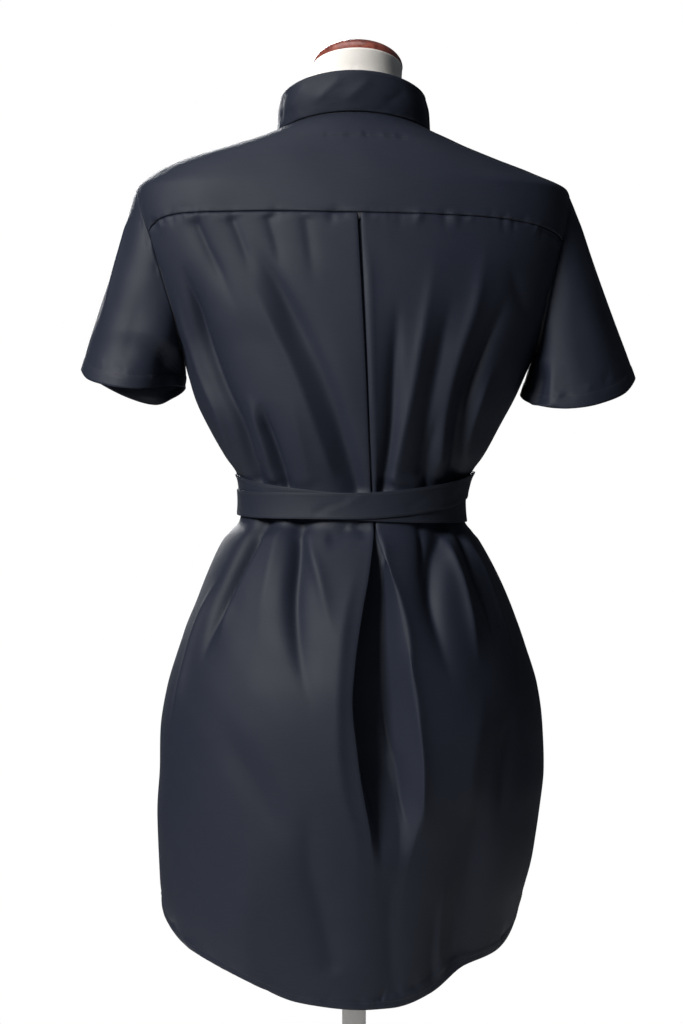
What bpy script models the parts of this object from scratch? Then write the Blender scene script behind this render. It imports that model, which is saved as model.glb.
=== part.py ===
# A belted short-sleeved tunic on a limbless dress form, in metres, +Z up.
# The front faces -Y and the back +Y, so the wearer's left is +X. The origin is the middle of the
# stand's underside, on the floor. Angles run round the body in degrees from centre back, positive
# towards the wearer's left, so the left side seam is at 90 and centre front at 180.

import math
from collections import namedtuple

import bpy
import numpy as np

# Cloth
WALL = 0.0012  # solid thickness of one layer of cloth
COLLAR_WALL = 0.0018
BELT_WALL = 0.0013
SEAM_GAP = 0.0003
YOKE_GAP = 0.0004  # at the yoke's lower seam, where the shoulder turns over
LAYER_GAP = 0.0005

# Heights on the figure
UNDERARM = 1.203
WAIST = 1.045
BELT_WIDTH = 0.0265

# Rings of the body, before its folds: height at the side, how much higher the ring is at centre
# back and lower at centre front, half widths to the wearer's left and right, depths behind and in
# front, and how square the ring is.
Ring = namedtuple("Ring", "height rise drop left right back front square")
BODY_RINGS = (
    Ring(0.545, 0, 0, 0.184, 0.150, 0.143, 0.140, 0.06),
    Ring(0.600, 0, 0, 0.197, 0.166, 0.149, 0.146, 0.06),
    Ring(0.635, 0, 0, 0.2025, 0.1755, 0.153, 0.149, 0.06),
    Ring(0.679, 0, 0, 0.2045, 0.187, 0.158, 0.153, 0.05),
    Ring(0.723, 0, 0, 0.2065, 0.194, 0.162, 0.156, 0.04),
    Ring(0.767, 0, 0, 0.2040, 0.1990, 0.164, 0.158, 0.03),
    Ring(0.811, 0, 0, 0.2025, 0.1975, 0.163, 0.157, 0.02),
    Ring(0.855, 0, 0, 0.1950, 0.1920, 0.160, 0.154, 0.02),
    Ring(0.900, 0, 0, 0.1810, 0.1785, 0.152, 0.147, 0.03),
    Ring(0.944, 0, 0, 0.1625, 0.1610, 0.138, 0.134, 0.05),
    Ring(0.988, 0, 0, 0.1445, 0.1405, 0.120, 0.117, 0.07),
    Ring(1.014, 0, 0, 0.1300, 0.1250, 0.1050, 0.104, 0.08),
    Ring(1.026, 0, 0, 0.1195, 0.1160, 0.0975, 0.097, 0.08),
    Ring(1.046, 0, 0, 0.1175, 0.1145, 0.0965, 0.096, 0.08),
    Ring(1.066, 0, 0, 0.1190, 0.1180, 0.0975, 0.098, 0.08),
    Ring(1.079, 0, 0, 0.1245, 0.1245, 0.0995, 0.101, 0.08),
    Ring(1.092, 0, 0, 0.1340, 0.1345, 0.1030, 0.107, 0.08),
    Ring(1.120, 0, 0, 0.1505, 0.1500, 0.1080, 0.117, 0.08),
    Ring(1.152, 0, 0, 0.1650, 0.1670, 0.1115, 0.126, 0.08),
    Ring(1.178, 0, 0, 0.1725, 0.1790, 0.1130, 0.131, 0.08),
    Ring(1.203, 0, 0, 0.1800, 0.1900, 0.1135, 0.1335, 0.08),
    Ring(1.235, 0, 0, 0.1960, 0.2030, 0.1135, 0.1325, 0.09),
    Ring(1.275, 0, 0, 0.2140, 0.2150, 0.1120, 0.1265, 0.10),
    Ring(1.310, 0, 0.006, 0.2240, 0.2230, 0.1090, 0.1180, 0.12),
    Ring(1.345, 0.001, 0.018, 0.2290, 0.2270, 0.1045, 0.1090, 0.14),
    Ring(1.369, 0.002, 0.030, 0.2268, 0.2230, 0.0995, 0.1030, 0.14),
    Ring(1.385, 0.004, 0.040, 0.2110, 0.1900, 0.0940, 0.0980, 0.13),
    Ring(1.400, 0.007, 0.048, 0.1800, 0.1500, 0.0860, 0.0915, 0.12),
    Ring(1.411, 0.010, 0.052, 0.1400, 0.1220, 0.0775, 0.0850, 0.10),
    Ring(1.420, 0.013, 0.055, 0.1070, 0.1030, 0.0690, 0.0775, 0.08),
    Ring(1.430, 0.014, 0.056, 0.0800, 0.0800, 0.0600, 0.0680, 0.06),
)
NECK = 1.430  # the collar seam's ring

# The stand collar, from its seam to its top edge
COLLAR_RINGS = (
    Ring(1.4303, 0.0140, 0.0560, 0.0800, 0.0800, 0.0600, 0.0680, 0.06),
    Ring(1.4500, 0.0165, 0.0545, 0.0795, 0.0790, 0.0640, 0.0700, 0.08),
    Ring(1.4690, 0.0170, 0.0530, 0.0755, 0.0740, 0.0645, 0.0700, 0.10),
)

# The dress form under the cloth. Its shoulders are worked out from the cloth's own rings.
FORM_RINGS = (
    Ring(0.800, 0, 0, 0.1600, 0.1600, 0.116, 0.108, 0.04),
    Ring(0.860, 0, 0, 0.1660, 0.1660, 0.121, 0.112, 0.04),
    Ring(0.920, 0, 0, 0.1590, 0.1590, 0.117, 0.108, 0.04),
    Ring(0.980, 0, 0, 0.1300, 0.1300, 0.098, 0.094, 0.04),
    Ring(1.010, 0, 0, 0.1160, 0.1160, 0.087, 0.086, 0.05),
    Ring(1.040, 0, 0, 0.1090, 0.1090, 0.081, 0.082, 0.05),
    Ring(1.065, 0, 0, 0.1110, 0.1110, 0.082, 0.084, 0.05),
    Ring(1.100, 0, 0, 0.1240, 0.1240, 0.088, 0.094, 0.06),
    Ring(1.150, 0, 0, 0.1480, 0.1480, 0.098, 0.112, 0.07),
    Ring(1.203, 0, 0, 0.1600, 0.1620, 0.101, 0.120, 0.08),
    Ring(1.260, 0, 0, 0.1720, 0.1720, 0.100, 0.113, 0.10),
    Ring(1.310, 0, 0.006, 0.1830, 0.1810, 0.096, 0.104, 0.12),
    Ring(1.345, 0.001, 0.018, 0.1900, 0.1840, 0.091, 0.096, 0.14),
    Ring(1.368, 0.002, 0.030, 0.1900, 0.1780, 0.087, 0.091, 0.14),
    Ring(1.382, 0.004, 0.040, 0.1830, 0.1640, 0.083, 0.087, 0.13),
)
SHOULDER_FROM = 1.395  # above this the form carries the cloth
FORM_NECK_RINGS = (
    Ring(1.4460, 0.0100, 0.0300, 0.0600, 0.0600, 0.0480, 0.0560, 0.02),
    Ring(1.4630, 0.0080, 0.0160, 0.0530, 0.0530, 0.0440, 0.0520, 0),
    Ring(1.4830, 0.0085, 0.0100, 0.0495, 0.0495, 0.0430, 0.0500, 0),
)
FORM_CLEARANCE = 0.0007
FORM_SHOULDER_INSET = 0.004
FORM_SHOULDER_END = 0.002  # how much further down the shoulder's end lies
NECK_TOP = 1.5040
NECK_TOP_RADIUS = 0.0465
NECK_LEAN = math.radians(12.5)
CAP_EDGE = 0.0060
CAP_DOME = 0.0075

# The stand
SOCKET_RADIUS = 0.030
SOCKET_HEIGHT = 0.040
POLE_RADIUS = 0.0125
FOOT_RADIUS = 0.170
FOOT_HEIGHT = 0.022

# Seam of the yoke at the back, as (share of the way to the armhole, height). The share is
# positive towards the wearer's left.
YOKE_SEAM = (
    (-1.0, 1.3150), (-0.90, 1.3205), (-0.70, 1.3280), (-0.43, 1.3338), (0.0, 1.3370),
    (0.35, 1.3390), (0.65, 1.3390), (0.88, 1.3330), (0.95, 1.3285), (1.0, 1.3230),
)

# Curve of the hem, as (angle, height)
HEM = (
    (-180, 0.590), (-140, 0.612), (-110, 0.648), (-90, 0.645), (-77, 0.608), (-62, 0.592), (-41, 0.581),
    (-20, 0.558), (0, 0.549), (20, 0.556), (37, 0.578), (64, 0.603), (90, 0.627), (110, 0.633),
    (140, 0.612), (180, 0.590),
)

# Armholes: side, height of the top, and how far the seam reaches in from the side, in degrees,
# behind and in front
Armhole = namedtuple("Armhole", "side top reach_back reach_front")
ARMHOLES = {
    1: Armhole(1, 1.3690, 27, 33),
    -1: Armhole(-1, 1.3657, 21, 30),
}
ARMHOLE_ROUND = 2.6

# The yoke's front edge, in degrees past the shoulder line, at the shoulder tip and at the neck
YOKE_WRAP_TIP = 17
YOKE_WRAP_NECK = 25

# Sleeve hems as (part of the turn, across, depth, height): 0 is the outer edge and 0.25 the back
SLEEVE_HEMS = {
    1: (
        (0.00, 0.2856, 0.000, 1.1850), (0.08, 0.2750, 0.036, 1.1735), (0.18, 0.2490, 0.057, 1.1660),
        (0.28, 0.2200, 0.060, 1.1635), (0.38, 0.1960, 0.048, 1.1660), (0.46, 0.1800, 0.022, 1.1700),
        (0.54, 0.1768, -0.010, 1.1660), (0.62, 0.1900, -0.044, 1.1560), (0.72, 0.2130, -0.062, 1.1480),
        (0.82, 0.2440, -0.060, 1.1560), (0.92, 0.2730, -0.036, 1.1720),
    ),
    -1: (
        (0.00, 0.2940, 0.000, 1.1760), (0.08, 0.2790, 0.038, 1.1590), (0.18, 0.2500, 0.059, 1.1475),
        (0.28, 0.2230, 0.064, 1.1430), (0.38, 0.2000, 0.056, 1.1450), (0.46, 0.1820, 0.028, 1.1530),
        (0.54, 0.1800, -0.010, 1.1600), (0.62, 0.1920, -0.044, 1.1560), (0.72, 0.2160, -0.062, 1.1500),
        (0.82, 0.2480, -0.060, 1.1560), (0.92, 0.2800, -0.036, 1.1680),
    ),
}

# Folds of the body: name, then height and angle at the top, middle and low end, depth (negative
# for a trough), width on the wearer's left and right of its line, and how far it fades in at the
# top and at the low end.
Fold = namedtuple(
    "Fold",
    "name top top_angle mid mid_angle low low_angle depth left_width right_width fade_top fade_low",
)
FOLDS = (
    # between yoke and belt, behind
    Fold("left_side_trough", 1.290, 57, 1.180, 55, 1.066, 58, -0.0100, 0.012, 0.016, 0.12, 0.004),
    Fold("left_broad_trough", 1.300, 28, 1.180, 15, 1.062, 6.5, -0.0080, 0.016, 0.012, 0.14, 0.004),
    Fold("left_wedge", 1.130, 42, 1.090, 43, 1.066, 44, -0.0050, 0.010, 0.014, 0.05, 0.004),
    Fold("by_pleat_trough", 1.215, -13, 1.130, -16, 1.062, -18.5, -0.0080, 0.008, 0.013, 0.10, 0.004),
    Fold("right_ridge", 1.280, -22, 1.170, -25, 1.070, -26, 0.0045, 0.010, 0.014, 0.10, 0.010),
    Fold("right_side_trough", 1.250, -49, 1.150, -47, 1.068, -56, -0.0105, 0.018, 0.014, 0.10, 0.004),
    Fold("right_side_ridge", 1.280, -45, 1.190, -38, 1.080, -46, 0.0035, 0.012, 0.010, 0.08, 0.020),
    # between belt and hem, behind
    Fold("left_hip_trough", 1.024, 64, 0.960, 62, 0.870, 58, -0.0130, 0.012, 0.016, 0.004, 0.10),
    Fold("left_mid_trough", 1.022, 33, 0.940, 26, 0.830, 15, -0.0110, 0.012, 0.016, 0.004, 0.13),
    Fold("left_hip_ridge", 0.950, 72, 0.870, 66, 0.780, 64, 0.0060, 0.012, 0.016, 0.06, 0.10),
    Fold("right_mid_trough", 1.018, -46, 0.930, -38, 0.820, -37, -0.0120, 0.018, 0.020, 0.004, 0.12),
    Fold("right_hip_ridge", 1.010, -60, 0.960, -58, 0.900, -55, 0.0050, 0.010, 0.012, 0.02, 0.06),
    Fold("right_low_trough", 0.660, -43, 0.620, -42, 0.575, -41, -0.0110, 0.012, 0.010, 0.07, 0.002),
    # in front, above and below the belt
    Fold("front_left_upper", 1.190, 140, 1.120, 138, 1.066, 137, -0.0080, 0.012, 0.014, 0.09, 0.004),
    Fold("front_right_upper", 1.180, -138, 1.120, -140, 1.066, -141, -0.0080, 0.014, 0.012, 0.09, 0.004),
    Fold("front_left_side", 1.160, 113, 1.110, 112, 1.070, 111, -0.0070, 0.010, 0.012, 0.07, 0.004),
    Fold("front_right_side", 1.160, -112, 1.110, -113, 1.070, -114, -0.0070, 0.012, 0.010, 0.07, 0.004),
    Fold("front_left_skirt", 1.022, 142, 0.930, 146, 0.800, 150, -0.0110, 0.014, 0.016, 0.004, 0.14),
    Fold("front_right_skirt", 1.022, -145, 0.940, -147, 0.830, -150, -0.0110, 0.016, 0.014, 0.004, 0.13),
    Fold("front_left_hip", 1.022, 113, 0.940, 117, 0.850, 121, -0.0110, 0.014, 0.014, 0.004, 0.12),
    Fold("front_right_hip", 1.022, -115, 0.950, -119, 0.860, -123, -0.0110, 0.014, 0.014, 0.004, 0.12),
)

# The inverted pleat at centre back, in metres across (wearer's left positive): its two outer
# edges, its two inner folds, and how deep the underlay lies. It hangs closed down to the belt,
# opens below it and dies out in the skirt.
Pleat = namedtuple("Pleat", "height left_edge right_edge left_inner right_inner depth")
UNDERLAY = 2 * WALL + 2 * LAYER_GAP
PLEAT = (
    Pleat(0.545, -0.018, -0.034, -0.0235, -0.0285, 0.0),
    Pleat(0.640, -0.022, -0.044, -0.029, -0.037, 0.0),
    Pleat(0.690, -0.022, -0.052, -0.030, -0.043, 0.0008),
    Pleat(0.725, -0.019, -0.060, -0.028, -0.046, 0.0050),
    Pleat(0.760, -0.013, -0.066, -0.020, -0.044, 0.0110),
    Pleat(0.800, -0.005, -0.0645, -0.009, -0.037, 0.0165),
    Pleat(0.856, 0.001, -0.0600, -0.001, -0.033, 0.0200),
    Pleat(0.895, -0.002, -0.0520, -0.001, -0.031, 0.0180),
    Pleat(0.940, -0.0085, -0.0430, -0.0040, -0.032, 0.0135),
    Pleat(0.985, -0.0165, -0.0320, -0.0090, -0.034, 0.0080),
    Pleat(1.020, -0.0200, -0.0225, -0.0050, -0.037, UNDERLAY),
    Pleat(1.075, -0.0168, -0.0182, 0.0000, -0.036, UNDERLAY),
    Pleat(1.188, -0.0117, -0.0133, 0.0060, -0.031, UNDERLAY),
    Pleat(1.345, -0.0032, -0.0062, 0.0130, -0.024, UNDERLAY),
)

# The belt's two turns: width above and below their centre line at the left side, centre back,
# right side and front, as (angle, height of the centre line)
BELT_TURNS = {
    "inner": (
        (-180, 1.046), (-90, 1.0390), (-45, 1.0400), (0, 1.0440), (45, 1.0530), (90, 1.0620), (180, 1.046),
    ),
    "outer": (
        (-180, 1.048), (-90, 1.0640), (-45, 1.0530), (0, 1.0450), (45, 1.0450), (90, 1.0465), (180, 1.048),
    ),
}
BELT_BLEND = 0.012  # how far from the belt the folds reach their depth
BELT_MARGIN = 0.002  # flat cloth above and below the belt's edges

# Closure in front
LAP_STEP = WALL + LAYER_GAP
BUTTON_RADIUS = 0.0058
BUTTON_HEIGHT = 0.0026
BUTTON_HEIGHTS = (1.333, 1.262, 1.190, 1.118, 0.965, 0.880, 0.795)
KNOT_HALF_WIDTH = 0.020
KNOT_HALF_HEIGHT = 0.0165
KNOT_HALF_DEPTH = 0.0075
END_WIDTH = 0.026
END_LENGTHS = {1: 0.235, -1: 0.205}
END_LIFT = 0.0036
BELT_STAND_OFF = 0.0013
INNER_TURN_LIFT = BELT_WALL + BELT_STAND_OFF
OUTER_TURN_LIFT = INNER_TURN_LIFT + BELT_WALL + LAYER_GAP
LAP_BRIDGE_FROM = 150  # the belt rises over the lap from this angle on
LAP_BRIDGE_TO = 162
KNOT_SEAT = 0.0970 + OUTER_TURN_LIFT + LAP_STEP

# How finely the solids are divided. The rows of a panel run from its hem, 0, over the waist, 0.5,
# to its top, 1, and lie closer together beside the belt.
ROW_SHARES = (
    0, 0.03, 0.07, 0.12, 0.17, 0.22, 0.27, 0.315, 0.36, 0.40, 0.432, 0.458, 0.478, 0.5,
    0.528, 0.553, 0.58, 0.615, 0.66, 0.71, 0.76, 0.81, 0.86, 0.91, 0.96, 1,
)
BACK_COLUMNS = 15
FRONT_COLUMNS = 10
FRONT_EDGES = (0.030, 0.017, 0, -0.015)  # across the lap, from its own side past centre front
SHOULDER_SHARES = (0, 0.3, 0.55, 0.7, 0.8, 0.9, 1)  # from a yoke's outer edge up to the neck
SLEEVE_COLUMNS = 26
SLEEVE_ROWS = (0, 0.08, 0.25, 0.44, 0.63, 0.82, 1)
BELT_COLUMNS = 60
COLLAR_COLUMNS = 41
FORM_COLUMNS = 32

FOLD_RADIUS = 0.14  # of the body, where the folds' widths are turned into degrees
SIDE_RADIUS = 0.09  # and where a side seam's gap is
SHOULDER_RADIUS = 0.08
SLEEVE_STAND_OFF = 0.0017
COLLAR_OPENING = 0.0012
PLEAT_TURNS_OVER = 0.008  # how far its inner fold moves while the pleat opens

COLOURS = {
    "cloth": ((0.020, 0.022, 0.028), 0.55, 0),
    "belt_cloth": ((0.022, 0.024, 0.030), 0.55, 0),
    "button_plastic": ((0.015, 0.015, 0.017), 0.30, 0),
    "form_cover": ((0.80, 0.76, 0.70), 0.85, 0),
    "cap_wood": ((0.22, 0.055, 0.035), 0.35, 0),
    "stand_paint": ((0.78, 0.77, 0.75), 0.40, 0),
}


def mix(first, second, share):
    return first + (second - first) * share


def ease(share):
    """0 to 1 with a soft start and end."""
    share = np.clip(share, 0, 1)
    return share * share * (3 - 2 * share)


def smooth_read(heights, values, at):
    """Reads values at new heights on a smooth curve that never overshoots its rows."""
    heights = np.asarray(heights, float)
    values = np.asarray(values, float)
    at = np.clip(np.asarray(at, float), heights[0], heights[-1])
    gaps = np.diff(heights)
    slopes = np.diff(values) / gaps
    tangents = np.zeros_like(values)
    tangents[0], tangents[-1] = slopes[0], slopes[-1]
    same_way = slopes[1:] * slopes[:-1] > 0
    weight = 3 * (gaps[1:] + gaps[:-1])
    safe = np.where(same_way, slopes[1:], 1), np.where(same_way, slopes[:-1], 1)
    mean = weight / ((2 * gaps[1:] + gaps[:-1]) / safe[1] + (gaps[1:] + 2 * gaps[:-1]) / safe[0])
    tangents[1:-1] = np.where(same_way, mean, 0)
    row = np.clip(np.searchsorted(heights, at) - 1, 0, len(gaps) - 1)
    t = (at - heights[row]) / gaps[row]
    low, high = values[row], values[row + 1]
    bend_low, bend_high = tangents[row] * gaps[row], tangents[row + 1] * gaps[row]
    return (
        low * (1 + 2 * t) * (1 - t) ** 2
        + bend_low * t * (1 - t) ** 2
        + high * t * t * (3 - 2 * t)
        + bend_high * t * t * (t - 1)
    )


def ring_point(rings, angle, height):
    """Points on a stack of rings, angle in degrees from centre back."""
    columns = list(zip(*rings))
    read = {name: smooth_read(columns[0], columns[i], height) for i, name in enumerate(Ring._fields) if i}
    turn = np.radians(angle)
    across, back = np.sin(turn), np.cos(turn)
    x = np.where(across > 0, read["left"], read["right"]) * across * (1 + read["square"] * back**2)
    y = np.where(back > 0, read["back"], read["front"]) * back * (1 + read["square"] * across**2)
    z = height + read["rise"] * np.maximum(back, 0) ** 2 - read["drop"] * np.maximum(-back, 0) ** 2
    return np.stack(np.broadcast_arrays(x, y, z), axis=-1)


def ring_normal(rings, angle, height):
    """Outward normals of a stack of rings."""
    turn, climb = 0.5, 0.001
    around = ring_point(rings, angle + turn, height) - ring_point(rings, angle - turn, height)
    up = ring_point(rings, angle, height + climb) - ring_point(rings, angle, height - climb)
    normal = np.cross(around, up)
    return -normal / np.linalg.norm(normal, axis=-1, keepdims=True)


def belt_line(turn, angle):
    """Height of the centre line of one turn of the belt."""
    rows = BELT_TURNS[turn]
    return smooth_read([row[0] for row in rows], [row[1] for row in rows], angle)


def belt_freedom(angle, height):
    """0 under the belt, growing to 1 a little above and below it."""
    lines = belt_line("inner", angle), belt_line("outer", angle)
    covered = BELT_WIDTH / 2 + BELT_MARGIN
    top = np.maximum(*lines) + covered
    bottom = np.minimum(*lines) - covered
    return ease(np.maximum(height - top, bottom - height) / BELT_BLEND)


def fold_relief(angle, height):
    """How far the folds move the cloth outwards."""
    angle, height = np.broadcast_arrays(np.asarray(angle, float), np.asarray(height, float))
    wrapped = (angle + 180) % 360 - 180
    relief = np.zeros(angle.shape)
    for fold in FOLDS:
        line = smooth_read(
            (fold.low, fold.mid, fold.top), (fold.low_angle, fold.mid_angle, fold.top_angle), height
        )
        beside = np.radians(wrapped - line) * FOLD_RADIUS
        width = np.where(beside > 0, fold.left_width, fold.right_width)
        from_top = ease((fold.top + fold.fade_top / 2 - height) / fold.fade_top)
        from_low = ease((height - fold.low + fold.fade_low / 2) / fold.fade_low)
        relief += fold.depth * from_top * from_low * np.exp(-((beside / width) ** 2))
    return relief * belt_freedom(wrapped, height)


def body_cloth(angle, height, lift=0.0):
    """Points on the outer face of the cloth, moved out by lift."""
    relief = fold_relief(angle, height) + lift
    return ring_point(BODY_RINGS, angle, height) + ring_normal(BODY_RINGS, angle, height) * relief[..., None]


def angle_across(across, height):
    """Angle behind the body at which its ring is this far across."""
    columns = list(zip(*BODY_RINGS))
    half = np.where(
        np.asarray(across) > 0,
        smooth_read(columns[0], columns[3], height),
        smooth_read(columns[0], columns[4], height),
    )
    square = smooth_read(columns[0], columns[7], height)
    share = np.asarray(across) / half
    sine = share / (1 + square)
    for _ in range(4):
        sine = share / (1 + square * (1 - sine**2))
    return np.degrees(np.arcsin(sine))


def armhole_reach(hole, height, front):
    """How far the armhole reaches in from the side at a height, in degrees."""
    middle = (hole.top + UNDERARM) / 2
    share = np.clip((height - middle) / (hole.top - middle), -1, 1)
    reach = hole.reach_front if front else hole.reach_back
    return reach * np.sqrt(1 - np.abs(share) ** ARMHOLE_ROUND)


def armhole_height(hole, reach, front):
    """The upper height at which the armhole reaches this far in."""
    middle = (hole.top + UNDERARM) / 2
    most = hole.reach_front if front else hole.reach_back
    share = (1 - np.clip(reach / most, 0, 1) ** 2) ** (1 / ARMHOLE_ROUND)
    return middle + (hole.top - middle) * share


def yoke_wrap(side, height):
    """Angle of the yoke's front edge at a height."""
    tip = ARMHOLES[side].top
    share = np.clip((height - tip) / (NECK - tip), 0, 1)
    return side * (90 + YOKE_WRAP_TIP + (YOKE_WRAP_NECK - YOKE_WRAP_TIP) * share)


def hem_height(angle):
    return smooth_read([row[0] for row in HEM], [row[1] for row in HEM], angle)


def yoke_seam_height(share):
    return smooth_read([row[0] for row in YOKE_SEAM], [row[1] for row in YOKE_SEAM], share)


def material(name):
    made = bpy.data.materials.get(name)
    if made:
        return made
    made = bpy.data.materials.new(name)
    made.use_nodes = True
    colour, roughness, metallic = COLOURS[name]
    shader = made.node_tree.nodes["Principled BSDF"]
    shader.inputs["Base Color"].default_value = (*colour, 1)
    shader.inputs["Roughness"].default_value = roughness
    shader.inputs["Metallic"].default_value = metallic
    return made


def finish_object(obj, material_name, sharp=None):
    obj.data.materials.clear()
    obj.data.materials.append(material(material_name))
    obj.data.shade_smooth()
    if sharp is not None:
        obj.data.set_sharp_from_angle(angle=math.radians(sharp))
    if obj.name not in PARTS.objects:
        for other in obj.users_collection:
            other.objects.unlink(obj)
        PARTS.objects.link(obj)
    return obj


def mesh_object(name, points, faces):
    mesh = bpy.data.meshes.new(name)
    mesh.from_pydata([tuple(map(float, p)) for p in points], [], faces)
    mesh.update()
    obj = bpy.data.objects.new(name, mesh)
    PARTS.objects.link(obj)
    return obj


def cloth_sheet(name, grid, wall, material_name, closed=False):
    """A sheet of cloth through a grid of outer points, given its wall inwards.
    Each row of the grid runs round the body and the rows go up."""
    rows, columns = grid.shape[:2]
    faces = []
    for row in range(rows - 1):
        for column in range(columns if closed else columns - 1):
            right = (column + 1) % columns
            low, high = row * columns, (row + 1) * columns
            faces.append((low + column, high + column, high + right, low + right))
    obj = mesh_object(name, grid.reshape(-1, 3), faces)
    solid = obj.modifiers.new("wall", "SOLIDIFY")
    solid.thickness = wall
    solid.offset = -1
    return finish_object(obj, material_name, 50)


def pleat_side(side, edge, inner, depth):
    """Points from one outer edge of the pleat down to its inner fold: across, and how far in.
    Where the inner fold lies behind the cloth the pleat is shut, elsewhere its side is a slope."""
    shut = float(ease((side * (inner - edge)) / PLEAT_TURNS_OVER + 0.5))
    back_face = 2 * WALL + LAYER_GAP
    folded = (
        (edge + side * 2.0 * WALL, 0),
        (edge + side * 0.3 * WALL, 0.3 * WALL),
        (edge, back_face / 2),
        (edge + side * 0.3 * WALL, back_face - 0.3 * WALL),
        (mix(edge, inner, 0.5), back_face),
        (inner, back_face + LAYER_GAP / 2),
        (inner - side * 0.5 * WALL, max(depth, UNDERLAY)),
    )
    slope = (0, 0.06, 0.2, 0.4, 0.62, 0.84, 1)
    opened = [
        (mix(edge + side * 2.5 * WALL, inner, share), depth * float(ease(share) ** 0.8)) for share in slope
    ]
    return [
        (mix(across, shut_across, shut), mix(inward, shut_inward, shut))
        for (across, inward), (shut_across, shut_inward) in zip(opened, folded)
    ]


def pleat_section(height):
    """Points across the whole pleat, from the wearer's left to the right."""
    rows = list(zip(*PLEAT))
    left, right, left_inner, right_inner, depth = (
        float(smooth_read(rows[0], rows[column], height)) for column in range(1, 6)
    )
    left_side = pleat_side(1, left, left_inner, depth)
    right_side = pleat_side(-1, right, right_inner, depth)
    middle = mix(left_side[-1][0], right_side[-1][0], 0.5), left_side[-1][1]
    return left_side + [middle] + right_side[::-1]


def row_height(top, bottom, share):
    """Height of one row of a panel: share 0 is its lower edge, 0.5 the waist and 1 its top."""
    if share < 0.5:
        return mix(bottom, WAIST, share * 2)
    return mix(WAIST, top, share * 2 - 1)


def back_height(across, share):
    """Height on the back panel, across from -1 to 1 between its side edges."""
    return row_height(float(yoke_seam_height(across)), float(hem_height(across * 90)), share)


def side_edge(side, height, front):
    """Angle of a panel's side edge: the armhole above the underarm and the side seam below."""
    gap = math.degrees(SEAM_GAP / 2 / SIDE_RADIUS)
    reach = float(armhole_reach(ARMHOLES[side], height, front)) if height > UNDERARM else 0.0
    return side * (90 + reach + gap if front else 90 - reach - gap)


def back_angle(side, pleat_edge, height, across):
    """Angle on the back, across from 0 at the pleat's edge to 1 at the side edge."""
    start = float(angle_across(pleat_edge, height))
    return mix(start, side_edge(side, height, False), across)


def sheet_grid(rows):
    """Points of the cloth for rows of (angle, height, lift)."""
    angles, heights, lifts = np.moveaxis(np.array(rows, float), -1, 0)
    return body_cloth(angles, heights, lifts)


def back_panel():
    rows = []
    for share in ROW_SHARES:
        middle_height = back_height(0, share)
        section = pleat_section(middle_height)
        row = []
        for across in np.linspace(1, 0, BACK_COLUMNS)[:-1]:
            height = back_height(-across, share)
            row.append((back_angle(-1, section[-1][0], height, across), height, 0))
        for across, inward in section[::-1]:
            row.append((float(angle_across(across, middle_height)), middle_height, -inward))
        for across in np.linspace(0, 1, BACK_COLUMNS)[1:]:
            height = back_height(across, share)
            row.append((back_angle(1, section[0][0], height, across), height, 0))
        rows.append(row)
    return cloth_sheet("back_panel", sheet_grid(rows), WALL, "cloth")


def front_angle(across, height):
    """Angle in front at which the body's ring is this far across."""
    columns = list(zip(*BODY_RINGS))
    half = float(smooth_read(columns[0], columns[3 if across > 0 else 4], height))
    square = float(smooth_read(columns[0], columns[7], height))
    return 180 - math.degrees(math.asin(across / half / (1 + square)))


def front_panel(side):
    """The left front lies under the right one along centre front."""
    corner = float(armhole_height(ARMHOLES[side], YOKE_WRAP_TIP, True))
    neck = NECK - SEAM_GAP
    shoulder_rows = [mix(corner, neck, share) for share in SHOULDER_SHARES[1:]]
    gap = math.degrees(SEAM_GAP / SHOULDER_RADIUS)
    rows = []
    for share in (*ROW_SHARES, *shoulder_rows):
        row = []
        for across in (*np.linspace(0, 1, FRONT_COLUMNS)[:-1], *FRONT_EDGES):
            lap = across in FRONT_EDGES and len(row) >= FRONT_COLUMNS - 1
            hem = float(hem_height(side * (180 if lap else 90 + 80 * across)))
            height = share if share in shoulder_rows else row_height(corner, hem, share)
            lap_start = side * front_angle(FRONT_EDGES[0], height)
            edge = side_edge(side, height, True)
            if height > corner - SEAM_GAP:
                edge = float(yoke_wrap(side, height)) + side * gap
            angle = side * front_angle(across, height) if lap else mix(edge, lap_start, across)
            lifted = lap and side < 0 and across < FRONT_EDGES[0]
            row.append((angle, height, LAP_STEP if lifted else 0))
        rows.append(row[::side])
    name = "front_left" if side > 0 else "front_right"
    return cloth_sheet(name, sheet_grid(rows), WALL, "cloth")


def yoke_half(side):
    """Columns of one half of the yoke: angle, and the height of its outer edge there."""
    hole = ARMHOLES[side]
    pleat_edge = pleat_section(float(yoke_seam_height(0)))[0 if side > 0 else -1][0]
    columns = []
    for across in np.linspace(0, 1, BACK_COLUMNS):
        seam = float(yoke_seam_height(side * across))
        columns.append((side * back_angle(side, pleat_edge, seam, across), seam + YOKE_GAP))
    corner = columns[-1][0]
    for angle in (*np.linspace(corner, 90, 6)[1:], *np.linspace(90, 90 + YOKE_WRAP_TIP, 4)[1:]):
        columns.append((angle, float(armhole_height(hole, abs(angle - 90), angle > 90)) + SEAM_GAP))
    return [(side, angle, outer) for angle, outer in columns]


def yoke():
    columns = yoke_half(-1)[::-1] + yoke_half(1)
    neck = NECK - SEAM_GAP
    rows = []
    for share in SHOULDER_SHARES:
        row = []
        for side, angle, outer in columns:
            height = mix(outer, neck, share)
            if angle > 90:
                wrap = abs(float(yoke_wrap(side, height))) - 90
                angle = 90 + (angle - 90) * wrap / YOKE_WRAP_TIP
            row.append((side * angle, height, 0))
        rows.append(row)
    return cloth_sheet("back_yoke", sheet_grid(rows), WALL, "cloth")


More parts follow.
